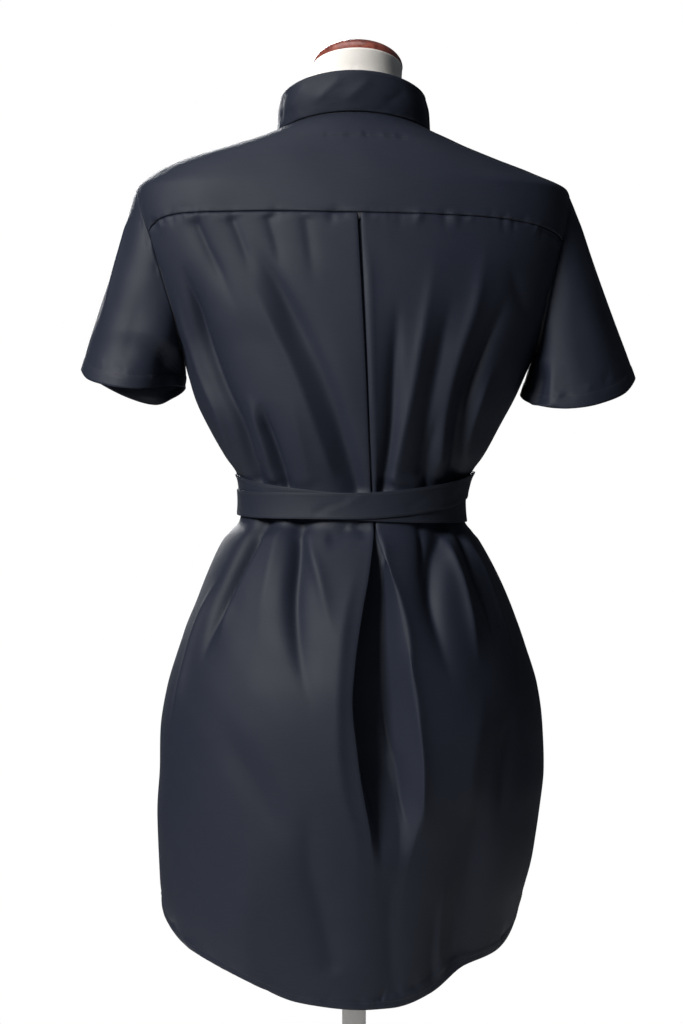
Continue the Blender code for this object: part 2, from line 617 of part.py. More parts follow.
def collar():
    end = 180 - math.degrees(COLLAR_OPENING / 2 / COLLAR_RINGS[0].front)
    angles = np.linspace(-end, end, COLLAR_COLUMNS)
    heights = np.linspace(COLLAR_RINGS[0].height, COLLAR_RINGS[-1].height, 4)
    grid = ring_point(COLLAR_RINGS, angles[None, :], heights[:, None])
    return cloth_sheet("stand_collar", grid, COLLAR_WALL, "cloth")


def loop_read(rows, part):
    """Reads a closed table of (part of the turn, values...) on a smooth closed curve."""
    every = [(row[0] - 1, *row[1:]) for row in rows[-3:]] + list(rows)
    every += [(row[0] + 1, *row[1:]) for row in rows[:3]]
    parts = np.array([row[0] for row in every])
    values = np.array([row[1:] for row in every])
    index = int(np.searchsorted(parts, part, side="right")) - 1
    span = parts[index + 1] - parts[index]
    t = (part - parts[index]) / span
    tangents = [(values[i + 1] - values[i - 1]) / (parts[i + 1] - parts[i - 1]) * span for i in (index, index + 1)]
    return (
        values[index] * (1 + 2 * t) * (1 - t) ** 2
        + tangents[0] * t * (1 - t) ** 2
        + values[index + 1] * t * t * (3 - 2 * t)
        + tangents[1] * t * t * (t - 1)
    )


def armhole_loop(side, parts):
    """Points round the armhole, 0 at the shoulder tip, 0.25 behind and 0.5 under the arm."""
    hole = ARMHOLES[side]
    middle = mix(UNDERARM, hole.top, 0.5)
    heights = middle + (hole.top - middle) * np.cos(2 * np.pi * parts)
    front = parts > 0.5
    reach = np.where(front, armhole_reach(hole, heights, True), armhole_reach(hole, heights, False))
    angles = side * np.where(front, 90 + reach, 90 - reach)
    return body_cloth(angles, heights)


def sleeve(side):
    parts = np.arange(SLEEVE_COLUMNS) / SLEEVE_COLUMNS
    start = armhole_loop(side, parts)
    start[:, 0] += side * SLEEVE_STAND_OFF
    hem = np.array([loop_read(SLEEVE_HEMS[side], part) for part in parts])
    hem[:, 0] *= side
    grid = np.array([mix(start, hem, share) for share in SLEEVE_ROWS])[::-1]
    name = "sleeve_left" if side > 0 else "sleeve_right"
    return cloth_sheet(name, grid[:, ::-side], WALL, "cloth", closed=True)


def belt_turn(turn, lift):
    angles = np.arange(BELT_COLUMNS) * 360 / BELT_COLUMNS - 180
    bridge = LAP_STEP * ease((np.abs(angles) - LAP_BRIDGE_FROM) / (LAP_BRIDGE_TO - LAP_BRIDGE_FROM))
    grid = []
    for edge in (-1, 0, 1):
        heights = belt_line(turn, angles) + edge * BELT_WIDTH / 2
        outward = ring_normal(BODY_RINGS, angles, heights)
        outward[:, 2] = 0
        grid.append(ring_point(BODY_RINGS, angles, heights) + outward * (lift + bridge)[:, None])
    return cloth_sheet(f"belt_{turn}_turn", np.array(grid), BELT_WALL, "belt_cloth", closed=True)


def rounded_box(name, size, place, material_name, bevel, turn=0.0):
    bpy.ops.mesh.primitive_cube_add(size=1, location=place, rotation=(0, turn, 0))
    obj = bpy.context.object
    obj.name = name
    obj.data.transform(((size[0], 0, 0, 0), (0, size[1], 0, 0), (0, 0, size[2], 0), (0, 0, 0, 1)))
    rounding = obj.modifiers.new("rounding", "BEVEL")
    rounding.width = bevel
    rounding.segments = 3
    return finish_object(obj, material_name, 60)


def belt_end(side):
    """One end of the belt, which hangs from the knot and lies on the front of the skirt."""
    top = WAIST - KNOT_HALF_HEIGHT - SEAM_GAP
    length = END_LENGTHS[side]
    rows = []
    for share in np.linspace(1, 0, 10):
        height = top - length * share
        half = float(smooth_read([r.height for r in BODY_RINGS], [r.left for r in BODY_RINGS], height))
        centre = side * (END_WIDTH / 2 + 0.003 + 0.020 * (1 - (1 - share) ** 2) * (1.2 if side > 0 else 0.8))
        row = []
        for edge in (-1, -0.33, 0.33, 1):
            across = centre + edge * END_WIDTH / 2 * mix(0.75, 1.0, float(ease(share * 6)))
            angle = 180 - math.degrees(math.asin(across / half))
            row.append((angle, height, END_LIFT))
        rows.append(row[::-1])
    name = "belt_end_left" if side > 0 else "belt_end_right"
    return cloth_sheet(name, sheet_grid(rows), BELT_WALL, "belt_cloth")


def turned(name, profile, material_name, steps=32):
    """A turned piece from its profile, listed from the axis at the top, down the outer side."""
    points = [(radius, 0, height) for radius, height in profile]
    mesh = bpy.data.meshes.new(name)
    mesh.from_pydata(points, [(i, i + 1) for i in range(len(points) - 1)], [])
    obj = bpy.data.objects.new(name, mesh)
    PARTS.objects.link(obj)
    spin = obj.modifiers.new("turn", "SCREW")
    spin.steps = steps
    spin.render_steps = steps
    spin.use_merge_vertices = True
    spin.merge_threshold = 0.00002
    spin.use_smooth_shade = True
    obj.data.materials.append(material(material_name))
    return obj


def button(number, height):
    across = BUTTON_RADIUS
    tall = BUTTON_HEIGHT
    profile = (
        (0, tall * 0.62), (across * 0.55, tall * 0.62), (across * 0.72, tall), (across * 0.92, tall * 0.92),
        (across, tall * 0.55), (across * 0.90, 0), (0, 0),
    )
    obj = turned(f"button_{number}", profile, "button_plastic", steps=12)
    angle = np.array(180.0)
    level = np.array(height)
    point = body_cloth(angle, level, np.array(LAP_STEP + SEAM_GAP))
    ahead = body_cloth(angle, level + 0.004) - body_cloth(angle, level - 0.004)
    tilt = math.atan2(ahead[1], ahead[2])
    obj.location = tuple(map(float, point))
    obj.rotation_euler = (math.pi / 2 - tilt, 0, 0)
    return obj


def form_torso():
    """Torso and neck of the dress form. Its shoulders follow the yoke from underneath."""
    table = list(FORM_RINGS)
    below = WALL + FORM_CLEARANCE
    for ring in BODY_RINGS:
        if ring.height > SHOULDER_FROM:
            extra = FORM_SHOULDER_END if ring.height < SHOULDER_FROM + 0.01 else 0
            table.append(
                ring._replace(
                    height=ring.height - below - extra,
                    back=ring.back - FORM_SHOULDER_INSET,
                    front=ring.front - FORM_SHOULDER_INSET,
                )
            )
    table += FORM_NECK_RINGS
    angles = np.arange(FORM_COLUMNS) * 360 / FORM_COLUMNS
    grid = [ring_point(table, angles, np.full(angles.shape, ring.height)) for ring in table]
    turn = np.radians(angles)
    top = np.stack(
        (
            NECK_TOP_RADIUS * np.sin(turn),
            NECK_TOP_RADIUS * np.cos(turn),
            NECK_TOP + NECK_TOP_RADIUS * np.cos(turn) * math.tan(NECK_LEAN),
        ),
        axis=-1,
    )
    grid.append(top)
    grid = np.array(grid)
    rows, columns = grid.shape[:2]
    faces = []
    for row in range(rows - 1):
        for column in range(columns):
            right = (column + 1) % columns
            low, high = row * columns, (row + 1) * columns
            faces.append((low + column, high + column, high + right, low + right))
    faces.append(tuple(range(columns)))
    faces.append(tuple(range(rows * columns - 1, (rows - 1) * columns - 1, -1)))
    obj = mesh_object("form_torso", grid.reshape(-1, 3), faces)
    return finish_object(obj, "form_cover", 50)


def form_cap():
    profile = (
        (0, CAP_EDGE + CAP_DOME), (0.016, CAP_EDGE + CAP_DOME * 0.93), (0.030, CAP_EDGE + CAP_DOME * 0.66),
        (0.040, CAP_EDGE + CAP_DOME * 0.30), (0.0455, CAP_EDGE), (0.0470, CAP_EDGE * 0.6),
        (0.0470, CAP_EDGE * 0.25), (0.0460, 0), (0, 0),
    )
    obj = turned("form_neck_cap", profile, "cap_wood", steps=28)
    obj.location = (0, 0, NECK_TOP + SEAM_GAP)
    obj.rotation_euler = (NECK_LEAN, 0, 0)
    return obj


def form_stand():
    torso_base = FORM_RINGS[0].height - SEAM_GAP
    socket_base = torso_base - SOCKET_HEIGHT
    profile = (
        (0, torso_base), (SOCKET_RADIUS * 1.5, torso_base), (SOCKET_RADIUS * 1.5, torso_base - 0.006),
        (SOCKET_RADIUS * 0.8, torso_base - 0.012), (SOCKET_RADIUS * 0.62, socket_base), (0, socket_base),
    )
    turned("form_socket", profile, "stand_paint", steps=24)
    hub_top = FOOT_HEIGHT + 0.030
    profile = (
        (0, hub_top), (POLE_RADIUS * 1.5, hub_top), (POLE_RADIUS * 1.7, hub_top - 0.004),
        (POLE_RADIUS * 1.8, FOOT_HEIGHT + 0.004), (POLE_RADIUS * 3, FOOT_HEIGHT - 0.002),
        (FOOT_RADIUS * 0.86, FOOT_HEIGHT * 0.62), (FOOT_RADIUS * 0.97, FOOT_HEIGHT * 0.42),
        (FOOT_RADIUS, FOOT_HEIGHT * 0.20), (FOOT_RADIUS, 0), (0, 0),
    )
    turned("form_foot", profile, "stand_paint", steps=36)
    length = socket_base - hub_top - 2 * SEAM_GAP
    bpy.ops.mesh.primitive_cylinder_add(
        vertices=24, radius=POLE_RADIUS, depth=length, location=(0, 0, mix(socket_base, hub_top, 0.5))
    )
    pole = bpy.context.object
    pole.name = "form_pole"
    return finish_object(pole, "stand_paint", 40)


def clear_scene():
    for obj in list(bpy.data.objects):
        bpy.data.objects.remove(obj, do_unlink=True)


clear_scene()
PARTS = bpy.data.collections.new("belted_tunic_on_dress_form")
bpy.context.scene.collection.children.link(PARTS)

back_panel()
yoke()
collar()
for side in (1, -1):
    front_panel(side)
    sleeve(side)
    belt_end(side)
belt_turn("inner", INNER_TURN_LIFT)
belt_turn("outer", OUTER_TURN_LIFT)
rounded_box(
    "belt_knot",
    (2 * KNOT_HALF_WIDTH, 2 * KNOT_HALF_DEPTH, 2 * KNOT_HALF_HEIGHT),
    (0, -(KNOT_SEAT + KNOT_HALF_DEPTH + SEAM_GAP), WAIST + 0.001),
    "belt_cloth",
    0.006,
)
for number, height in enumerate(BUTTON_HEIGHTS, 1):
    button(number, height)
form_torso()
form_cap()
form_stand()
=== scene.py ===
import math
from collections import namedtuple

import bpy
import numpy as np
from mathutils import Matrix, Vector


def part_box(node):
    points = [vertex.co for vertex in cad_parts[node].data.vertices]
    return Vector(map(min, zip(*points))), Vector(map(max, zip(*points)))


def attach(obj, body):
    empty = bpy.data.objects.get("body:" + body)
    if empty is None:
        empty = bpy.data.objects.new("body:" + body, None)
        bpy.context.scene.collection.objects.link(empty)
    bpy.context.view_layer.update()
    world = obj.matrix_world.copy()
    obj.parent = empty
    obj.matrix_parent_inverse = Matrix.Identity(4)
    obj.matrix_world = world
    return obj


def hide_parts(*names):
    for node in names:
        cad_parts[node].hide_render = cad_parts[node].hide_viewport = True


# The finished look of a belted short-sleeved tunic on a limbless dress form, +Z up. Tables are in
# millimetres, single sizes in metres. The front faces -Y and the back +Y, so the wearer's left is
# +X. Angles run round the body in degrees from centre back, positive towards the wearer's left.

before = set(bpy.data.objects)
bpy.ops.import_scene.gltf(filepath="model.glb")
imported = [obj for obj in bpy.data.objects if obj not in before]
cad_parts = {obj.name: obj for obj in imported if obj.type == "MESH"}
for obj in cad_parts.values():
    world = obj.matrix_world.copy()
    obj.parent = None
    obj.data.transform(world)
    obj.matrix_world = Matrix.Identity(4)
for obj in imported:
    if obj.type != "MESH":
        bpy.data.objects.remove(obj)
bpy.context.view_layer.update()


def metres(*rows):
    return np.array(rows) / 1000


# Cloth, with the sizes of the solids that the shells follow
WALL = 0.0012
SHELL, COLLAR_SHELL, BELT_SHELL = 0.0009, 0.0016, 0.0012  # thickness of the cloth as it shows
BELT_WALL = 0.0013
SEAM_GAP, YOKE_GAP, LAYER_GAP = 0.0003, 0.0004, 0.0005
WAIST, UNDERARM, NECK = 1.045, 1.203, 1.430
BELT_WIDTH = 0.0265

# Rings of the body: height at the side, how much higher the ring is at centre back and lower at
# centre front, half widths to the left and right, depths behind and in front, and squareness in
# thousandths
HEIGHT, RISE, DROP, LEFT, RIGHT, BACK, FRONT, SQUARENESS = range(8)
BODY_RINGS = metres(
    (545, 0, 0, 184, 150, 143, 140, 60), (600, 0, 0, 197, 166, 149, 146, 60),
    (635, 0, 0, 202.5, 175.5, 153, 149, 60), (679, 0, 0, 204.5, 187, 158, 153, 50),
    (723, 0, 0, 206.5, 194, 162, 156, 40), (767, 0, 0, 204, 199, 164, 158, 30),
    (811, 0, 0, 202.5, 197.5, 163, 157, 20), (855, 0, 0, 195, 192, 160, 154, 20),
    (900, 0, 0, 181, 178.5, 152, 147, 30), (944, 0, 0, 162.5, 161, 138, 134, 50),
    (988, 0, 0, 144.5, 140.5, 120, 117, 70), (1014, 0, 0, 130, 125, 105, 104, 80),
    (1026, 0, 0, 119.5, 116, 97.5, 97, 80), (1046, 0, 0, 117.5, 114.5, 96.5, 96, 80),
    (1066, 0, 0, 119, 118, 97.5, 98, 80), (1079, 0, 0, 124.5, 124.5, 99.5, 101, 80),
    (1092, 0, 0, 134, 134.5, 103, 107, 80), (1120, 0, 0, 150.5, 150, 108, 117, 80),
    (1152, 0, 0, 165, 167, 111.5, 126, 80), (1178, 0, 0, 172.5, 179, 113, 131, 80),
    (1203, 0, 0, 180, 190, 113.5, 133.5, 80), (1235, 0, 0, 196, 203, 113.5, 132.5, 90),
    (1275, 0, 0, 214, 215, 112, 126.5, 100), (1310, 0, 6, 224, 223, 109, 118, 120),
    (1345, 1, 18, 229, 227, 104.5, 109, 140), (1369, 2, 30, 226.8, 223, 99.5, 103, 140),
    (1385, 4, 40, 211, 190, 94, 98, 130), (1400, 7, 48, 180, 150, 86, 91.5, 120),
    (1411, 10, 52, 140, 122, 77.5, 85, 100), (1420, 13, 55, 107, 103, 69, 77.5, 80),
    (1430, 14, 56, 80, 80, 60, 68, 60),
)
COLLAR_RINGS = metres(
    (1430.3, 14, 56, 80, 80, 60, 68, 60), (1450, 16.5, 54.5, 79.5, 79, 64, 70, 80),
    (1469, 17, 53, 75.5, 74, 64.5, 70, 100),
)
FORM_RINGS = metres(
    (800, 0, 0, 160, 160, 116, 108, 40), (860, 0, 0, 166, 166, 121, 112, 40),
    (920, 0, 0, 159, 159, 117, 108, 40), (980, 0, 0, 130, 130, 98, 94, 40),
    (1010, 0, 0, 116, 116, 87, 86, 50), (1040, 0, 0, 109, 109, 81, 82, 50),
    (1065, 0, 0, 111, 111, 82, 84, 50), (1100, 0, 0, 124, 124, 88, 94, 60),
    (1150, 0, 0, 148, 148, 98, 112, 70), (1203, 0, 0, 160, 162, 101, 120, 80),
    (1260, 0, 0, 172, 172, 100, 113, 100), (1310, 0, 6, 183, 181, 96, 104, 120),
    (1345, 1, 18, 190, 184, 91, 96, 140), (1368, 2, 30, 190, 178, 87, 91, 140),
    (1382, 4, 40, 183, 164, 83, 87, 130),
)
FORM_NECK_RINGS = metres(
    (1446, 10, 30, 60, 60, 48, 56, 20), (1463, 8, 16, 53, 53, 44, 52, 0),
    (1483, 8.5, 10, 49.5, 49.5, 43, 50, 0),
)
COLLAR_LOW, COLLAR_TOP = COLLAR_RINGS[0, HEIGHT], COLLAR_RINGS[-1, HEIGHT]
FORM_CLEARANCE = 0.0007
SHOULDER_FROM, FORM_SHOULDER_INSET, FORM_SHOULDER_END = 1.395, 0.004, 0.002
NECK_TOP, NECK_TOP_ACROSS, NECK_TOP_RADIUS = 1.4975, -0.0032, 0.0472
NECK_LEAN = math.radians(16.5)
CAP_RADIUS, CAP_BEVEL, CAP_DOME = 0.0476, 0.0008, 0.0230
SOCKET_RADIUS, SOCKET_HEIGHT = 0.030, 0.040
POLE_RADIUS, POLE_RING = 0.0125, 0.012
FOOT_RADIUS, FOOT_HEIGHT, HUB_HEIGHT = 0.170, 0.022, 0.030

# Seam of the yoke behind, as (share of the way to the armhole, height), and the curve of the hem and
# the belt's two turns, as (angle, height)
YOKE_SEAM = (
    (-1, 1315), (-0.90, 1320.5), (-0.70, 1328), (-0.43, 1333.8), (0, 1337), (0.35, 1339), (0.65, 1339),
    (0.88, 1333), (0.95, 1328.5), (1, 1323),
)
HEM = (
    (-180, 590), (-140, 612), (-110, 648), (-90, 645), (-77, 608), (-62, 592), (-41, 581), (-20, 558),
    (0, 549), (20, 556), (37, 578), (64, 603), (90, 627), (110, 633), (140, 612), (180, 590),
)
BELT_TURNS = {
    "inner": ((-180, 1046), (-90, 1039), (-45, 1040), (0, 1044), (45, 1053), (90, 1062), (180, 1046)),
    "outer": ((-180, 1048), (-90, 1064), (-45, 1053), (0, 1045), (45, 1045), (90, 1046.5), (180, 1048)),
}
Armhole = namedtuple("Armhole", "top reach_back reach_front")
ARMHOLES = {1: Armhole(1.3690, 27, 33), -1: Armhole(1.3657, 21, 30)}
ARMHOLE_ROUND = 2.6
YOKE_WRAP_TIP, YOKE_WRAP_NECK = 17, 25

# Sleeve hems as (part of the turn, across, depth, height): 0 is the outer edge and 0.25 the back
SLEEVE_HEMS = {
    1: (
        (0, 285.6, 0, 1185), (0.08, 275, 36, 1173.5), (0.18, 249, 57, 1166), (0.28, 220, 60, 1163.5),
        (0.38, 193, 48, 1165), (0.46, 176.5, 22, 1168), (0.54, 175, -10, 1165), (0.62, 190, -44, 1156),
        (0.72, 213, -62, 1148), (0.82, 244, -60, 1156), (0.92, 273, -36, 1172),
    ),
    -1: (
        (0, 294, 0, 1176), (0.08, 279, 38, 1159), (0.18, 250, 59, 1147.5), (0.28, 223, 64, 1143),
        (0.38, 196.5, 56, 1144), (0.46, 176.5, 28, 1151), (0.54, 175.5, -10, 1159), (0.62, 192, -44, 1156),
        (0.72, 216, -62, 1150), (0.82, 248, -60, 1156), (0.92, 280, -36, 1168),
    ),
}
SLEEVE_STAND_OFF = 0.0006

# The inverted pleat at centre back: height, its outer edges and its inner folds across, each on the
# left and right, and its depth
PLEAT = metres(
    (545, -18, -34, -23.5, -28.5, 0), (640, -22, -44, -29, -37, 0), (690, -22, -52, -30, -43, 0.8),
    (725, -19, -60, -26, -46, 9), (760, -13, -66, -16, -42, 20), (800, -5, -64.5, -3, -34, 29),
    (856, 1, -60, 6, -31, 33), (895, -2, -52, 5, -29, 31), (940, -8.5, -43, -1, -30, 24),
    (985, -16.5, -32, -8, -31, 15), (1020, -20, -22.5, -5, -37, 3.4), (1075, -16.8, -18.2, 0, -36, 3.4),
    (1188, -11.7, -13.3, 6, -31, 3.4), (1345, -3.2, -6.2, 13, -24, 3.4),
)
UNDERLAY = 2 * WALL + 2 * LAYER_GAP
PLEAT_TURNS_OVER = 0.008

DEEPEST = 0.019  # no trough goes deeper, and where the dress form is nearer, less deep still
FORM_ROOM = 0.0030
SHADED_WALL = 0.7  # share of a trough's left width from its shaded wall, which is seen, to its line
BELT_BLEND, BELT_MARGIN, BELT_STAND_OFF = 0.006, 0.0015, 0.0013
INNER_TURN_LIFT = BELT_WALL + BELT_STAND_OFF
OUTER_TURN_LIFT = INNER_TURN_LIFT + BELT_WALL + LAYER_GAP
LAP_STEP = WALL + LAYER_GAP
LAP_BRIDGE = (150, 162)
LAP_FROM, LAP_TO, LAP_RISE = 0.030, -0.015, 0.013  # the lap at centre front
BUTTON_RADIUS, BUTTON_HEIGHT = 0.0058, 0.0026
BUTTON_HOLE_OFF = 0.0011
BUTTON_HEIGHTS = (1.333, 1.262, 1.190, 1.118, 0.965, 0.880, 0.795)
KNOT_HALF_WIDTH, KNOT_HALF_HEIGHT, KNOT_HALF_DEPTH = 0.020, 0.0165, 0.0075
KNOT_SEAT = 0.0970 + OUTER_TURN_LIFT + LAP_STEP
END_WIDTH, END_LENGTHS, END_LIFT = 0.026, {1: 0.235, -1: 0.205}, 0.0036
SHOULDER_RADIUS, SIDE_RADIUS = 0.08, 0.09
COLLAR_OPENING = 0.0012

# Sewing
HEM_DEPTH, SLEEVE_HEM_DEPTH = 0.008, 0.013
STITCH, STITCH_GAP, THREAD = 0.0022, 0.0008, 0.00022
# Rings of one stitch: place along it in stitches, then radius and height in threads
STITCH_RINGS = ((-0.5, 0.35, -0.9), (-0.30, 0.95, 0.15), (0.30, 0.95, 0.15), (0.5, 0.35, -0.9))
EDGE_STITCH = 0.0026  # from a folded edge to its row of stitches
NECK_STITCHES = 1.409  # height of the puckered row on the yoke behind the collar
NECK_STITCHES_REACH = (12, -24)

# How finely the shells are divided
BACK_SIDE_COLUMNS, PLEAT_POINTS, PLEAT_FLOOR_POINTS = 102, 19, 5
FRONT_SIDE_COLUMNS, LAP_COLUMNS, SHOULDER_ROWS = 84, 22, 26
YOKE_COLUMNS, YOKE_SHOULDER_COLUMNS, YOKE_WRAP_COLUMNS, YOKE_ROWS = 104, 15, 10, 62
SLEEVE_COLUMNS, SLEEVE_ROWS = 150, 74
COLLAR_COLUMNS, COLLAR_ROWS = 200, 26
BELT_COLUMNS, BELT_ROWS = 360, 15
FORM_COLUMNS = 128

# Creases: depth (negative for a trough), width on the wearer's left and right of its line, how
# round its bottom or crest is, what share of its length fades in at its upper and lower end, and
# its path from the top down.
Crease = namedtuple("Crease", "depth left right round fade_top fade_low path")


def creases(per_unit, *rows):
    """Creases from rows in millimetres, with what one metre or unit of their paths counts."""
    return [Crease(*metres(*row[1:5]), *row[5:7], np.array(row[7:]) / per_unit) for row in rows]


# Behind, the paths are (height, across) as seen from the camera, measured at the waist's distance.
BACK_CREASES = creases(
    (1000, 1000),
    ("left side trough", -17, 4.5, 9, 1.5, 0.35, 0,
     (1290, 176), (1248, 164), (1210, 154), (1170, 139), (1125, 119), (1070, 101)),
    ("left side rim", 5.6, 10, 3.5, 2, 0.40, 0.06,
     (1270, 182), (1220, 167), (1175, 151), (1130, 132), (1072, 110)),
    ("left yoke wrinkle", -4, 6, 5, 2, 0.10, 0.50, (1335, 165), (1303, 151), (1275, 137), (1235, 118)),
    ("second yoke wrinkle", -2.8, 5, 5, 2, 0.10, 0.60, (1336, 127), (1300, 113), (1265, 100)),
    ("third yoke wrinkle", -2.2, 4, 8, 2, 0.10, 0.60, (1337, 90), (1307, 81), (1262, 72)),
    ("fourth yoke wrinkle", -1.6, 4, 7, 2, 0.10, 0.60, (1337, 52), (1300, 47), (1258, 40)),
    ("left broad trough", -15, 10, 7, 3, 0.45, 0,
     (1316, 112), (1270, 86), (1220, 62), (1180, 43), (1130, 24), (1062, 4)),
    ("broad trough's left edge", 3, 7, 6, 3, 0.40, 0.10,
     (1290, 112), (1230, 84), (1180, 60), (1130, 41), (1064, 18)),
    ("left kink ridge", 4.4, 6, 4, 2, 0.40, 0.06, (1160, 107), (1130, 99), (1100, 89), (1066, 80)),
    ("left kink trough", -12, 4, 5, 1.5, 0.45, 0, (1150, 97), (1125, 91), (1100, 82), (1064, 72)),
    ("between kink and pleat", 2.6, 10, 8, 4, 0.50, 0.10, (1170, 72), (1115, 55), (1064, 44)),
    ("pleat rolled edge", 1.6, 1.2, 3.5, 1, 0.20, 0, (1315, -12.5), (1190, -17.5), (1060, -22.5)),
    ("trough by the pleat", -12, 6, 4, 2, 0.55, 0, (1260, -40), (1190, -37), (1120, -34), (1060, -26)),
    ("first right ridge", 4.6, 5, 9, 2, 0.40, 0.05,
     (1310, -84), (1250, -74), (1200, -65), (1150, -56), (1100, -44), (1064, -37)),
    ("after the first ridge", -6.2, 9, 8, 3, 0.40, 0.10, (1270, -94), (1200, -81), (1140, -70), (1064, -60)),
    ("second right ridge", 4.4, 6, 8, 3, 0.30, 0.10,
     (1315, -134), (1250, -122), (1190, -104), (1130, -91), (1064, -84)),
    ("right side trough", -17, 10, 5, 2, 0.45, 0,
     (1265, -152), (1200, -124), (1153, -107), (1110, -100), (1066, -95)),
    ("right side rim", 3.6, 3, 6, 2, 0.30, 0.05, (1190, -142), (1140, -123), (1090, -108), (1066, -102)),
    ("right armhole fold", -2.4, 8, 10, 4, 0.45, 0.50, (1295, -148), (1255, -160), (1222, -176)),
    ("low right fold", -5, 5, 6, 2, 0.50, 0, (1145, -84), (1100, -74), (1062, -70)),
    ("left hip trough", -20, 4.5, 9, 1.5, 0, 0.45, (1034, 94), (997, 113), (963, 130), (933, 143), (880, 156)),
    ("left hip edge", 4.6, 5, 7, 2, 0.10, 0.30, (1026, 84), (990, 105), (950, 124), (905, 137)),
    ("left side ridge", 5.2, 10, 7, 3, 0.30, 0.40, (975, 136), (930, 154), (857, 174), (803, 187)),
    ("left middle trough", -15, 6, 10, 3, 0, 0.60,
     (1034, 60), (1010, 60), (987, 62), (950, 65), (910, 62), (870, 54), (820, 38)),
    ("left middle ridge", 5, 4, 7, 2, 0.05, 0.60, (1024, 51), (997, 43), (972, 35), (935, 26), (895, 12)),
    ("low right hollow", -23, 60, 26, 8, 0.70, 0, (840, -90), (730, -84), (640, -76), (560, -72)),
    ("between hip and middle", 2.4, 8, 8, 3, 0.05, 0.60, (1026, 74), (990, 83), (940, 92), (890, 94)),
    ("left smile under belt", -3, 4, 6, 3, 0.25, 0.30, (1030, 8), (1021, 13), (1015, 23), (1012, 34)),
    ("right smile under belt", -2.6, 4, 6, 3, 0.25, 0.30, (1030, 5), (1021, -4), (1014, -13)),
    ("left of the opening", 3.6, 16, 6, 3, 0.25, 0.60,
     (1000, -6), (925, 10), (823, 16), (757, 11), (697, -3), (590, 4)),
    ("edge of the opening", 4.2, 2.5, 9, 1, 0.06, 0.25,
     (1024, -25), (980, -34), (957, -44), (917, -54), (877, -57), (830, -64), (790, -69), (753, -70),
     (723, -69), (700, -58)),
    ("strip inside the opening", -2.6, 2, 3, 1, 0.30, 0.20,
     (890, -31), (843, -33), (807, -38), (785, -45), (757, -48), (737, -51), (707, -59)),
    ("stroke under the belt", -6, 3, 4, 1, 0, 0.70, (1034, -64), (1000, -68), (960, -66)),
    ("right trough", -16, 10, 7, 3, 0, 0.60,
     (1034, -84), (1016, -82), (990, -74), (950, -72), (903, -82), (850, -96)),
    ("right ridge", 6, 4, 7, 2, 0.08, 0.35, (1024, -89), (997, -98), (967, -108), (925, -118), (880, -126)),
    ("right faint ridge", 3.2, 5, 7, 3, 0.10, 0.50,
     (1017, -108), (990, -126), (950, -142), (910, -156), (855, -166)),
    ("right of the faint ridge", -6.2, 5, 6, 2, 0, 0.60, (1030, -98), (985, -114), (945, -128), (895, -141)),
    ("right standing band", -5, 10, 10, 5, 0.40, 0.40, (850, -150), (790, -145), (705, -140)),
    ("right soft band", 3.4, 12, 12, 6, 0.40, 0.40, (870, -130), (790, -122), (690, -118)),
    ("low right trough", -14, 9, 6, 3, 0.60, 0, (700, -120), (640, -106), (590, -104), (575, -109)),
    ("low right edge", 3.6, 6, 4, 2, 0.40, 0, (670, -100), (620, -92), (574, -94)),
    ("second low right trough", -6.5, 6, 7, 3, 0.50, 0, (660, -91), (607, -81), (568, -80)),
    ("low left drift", -4.6, 14, 16, 8, 0.50, 0.50, (850, 150), (757, 107), (690, 78)),
    ("low middle drift", -4.2, 10, 14, 6, 0.40, 0.10, (770, 46), (690, 52), (623, 37), (570, 27)),
    ("low hem wave", 4, 18, 18, 10, 0.50, 0, (720, 100), (640, 110), (580, 108)),
    ("low hem dip", -3, 10, 10, 6, 0.50, 0, (700, -36), (630, -30), (560, -34)),
)

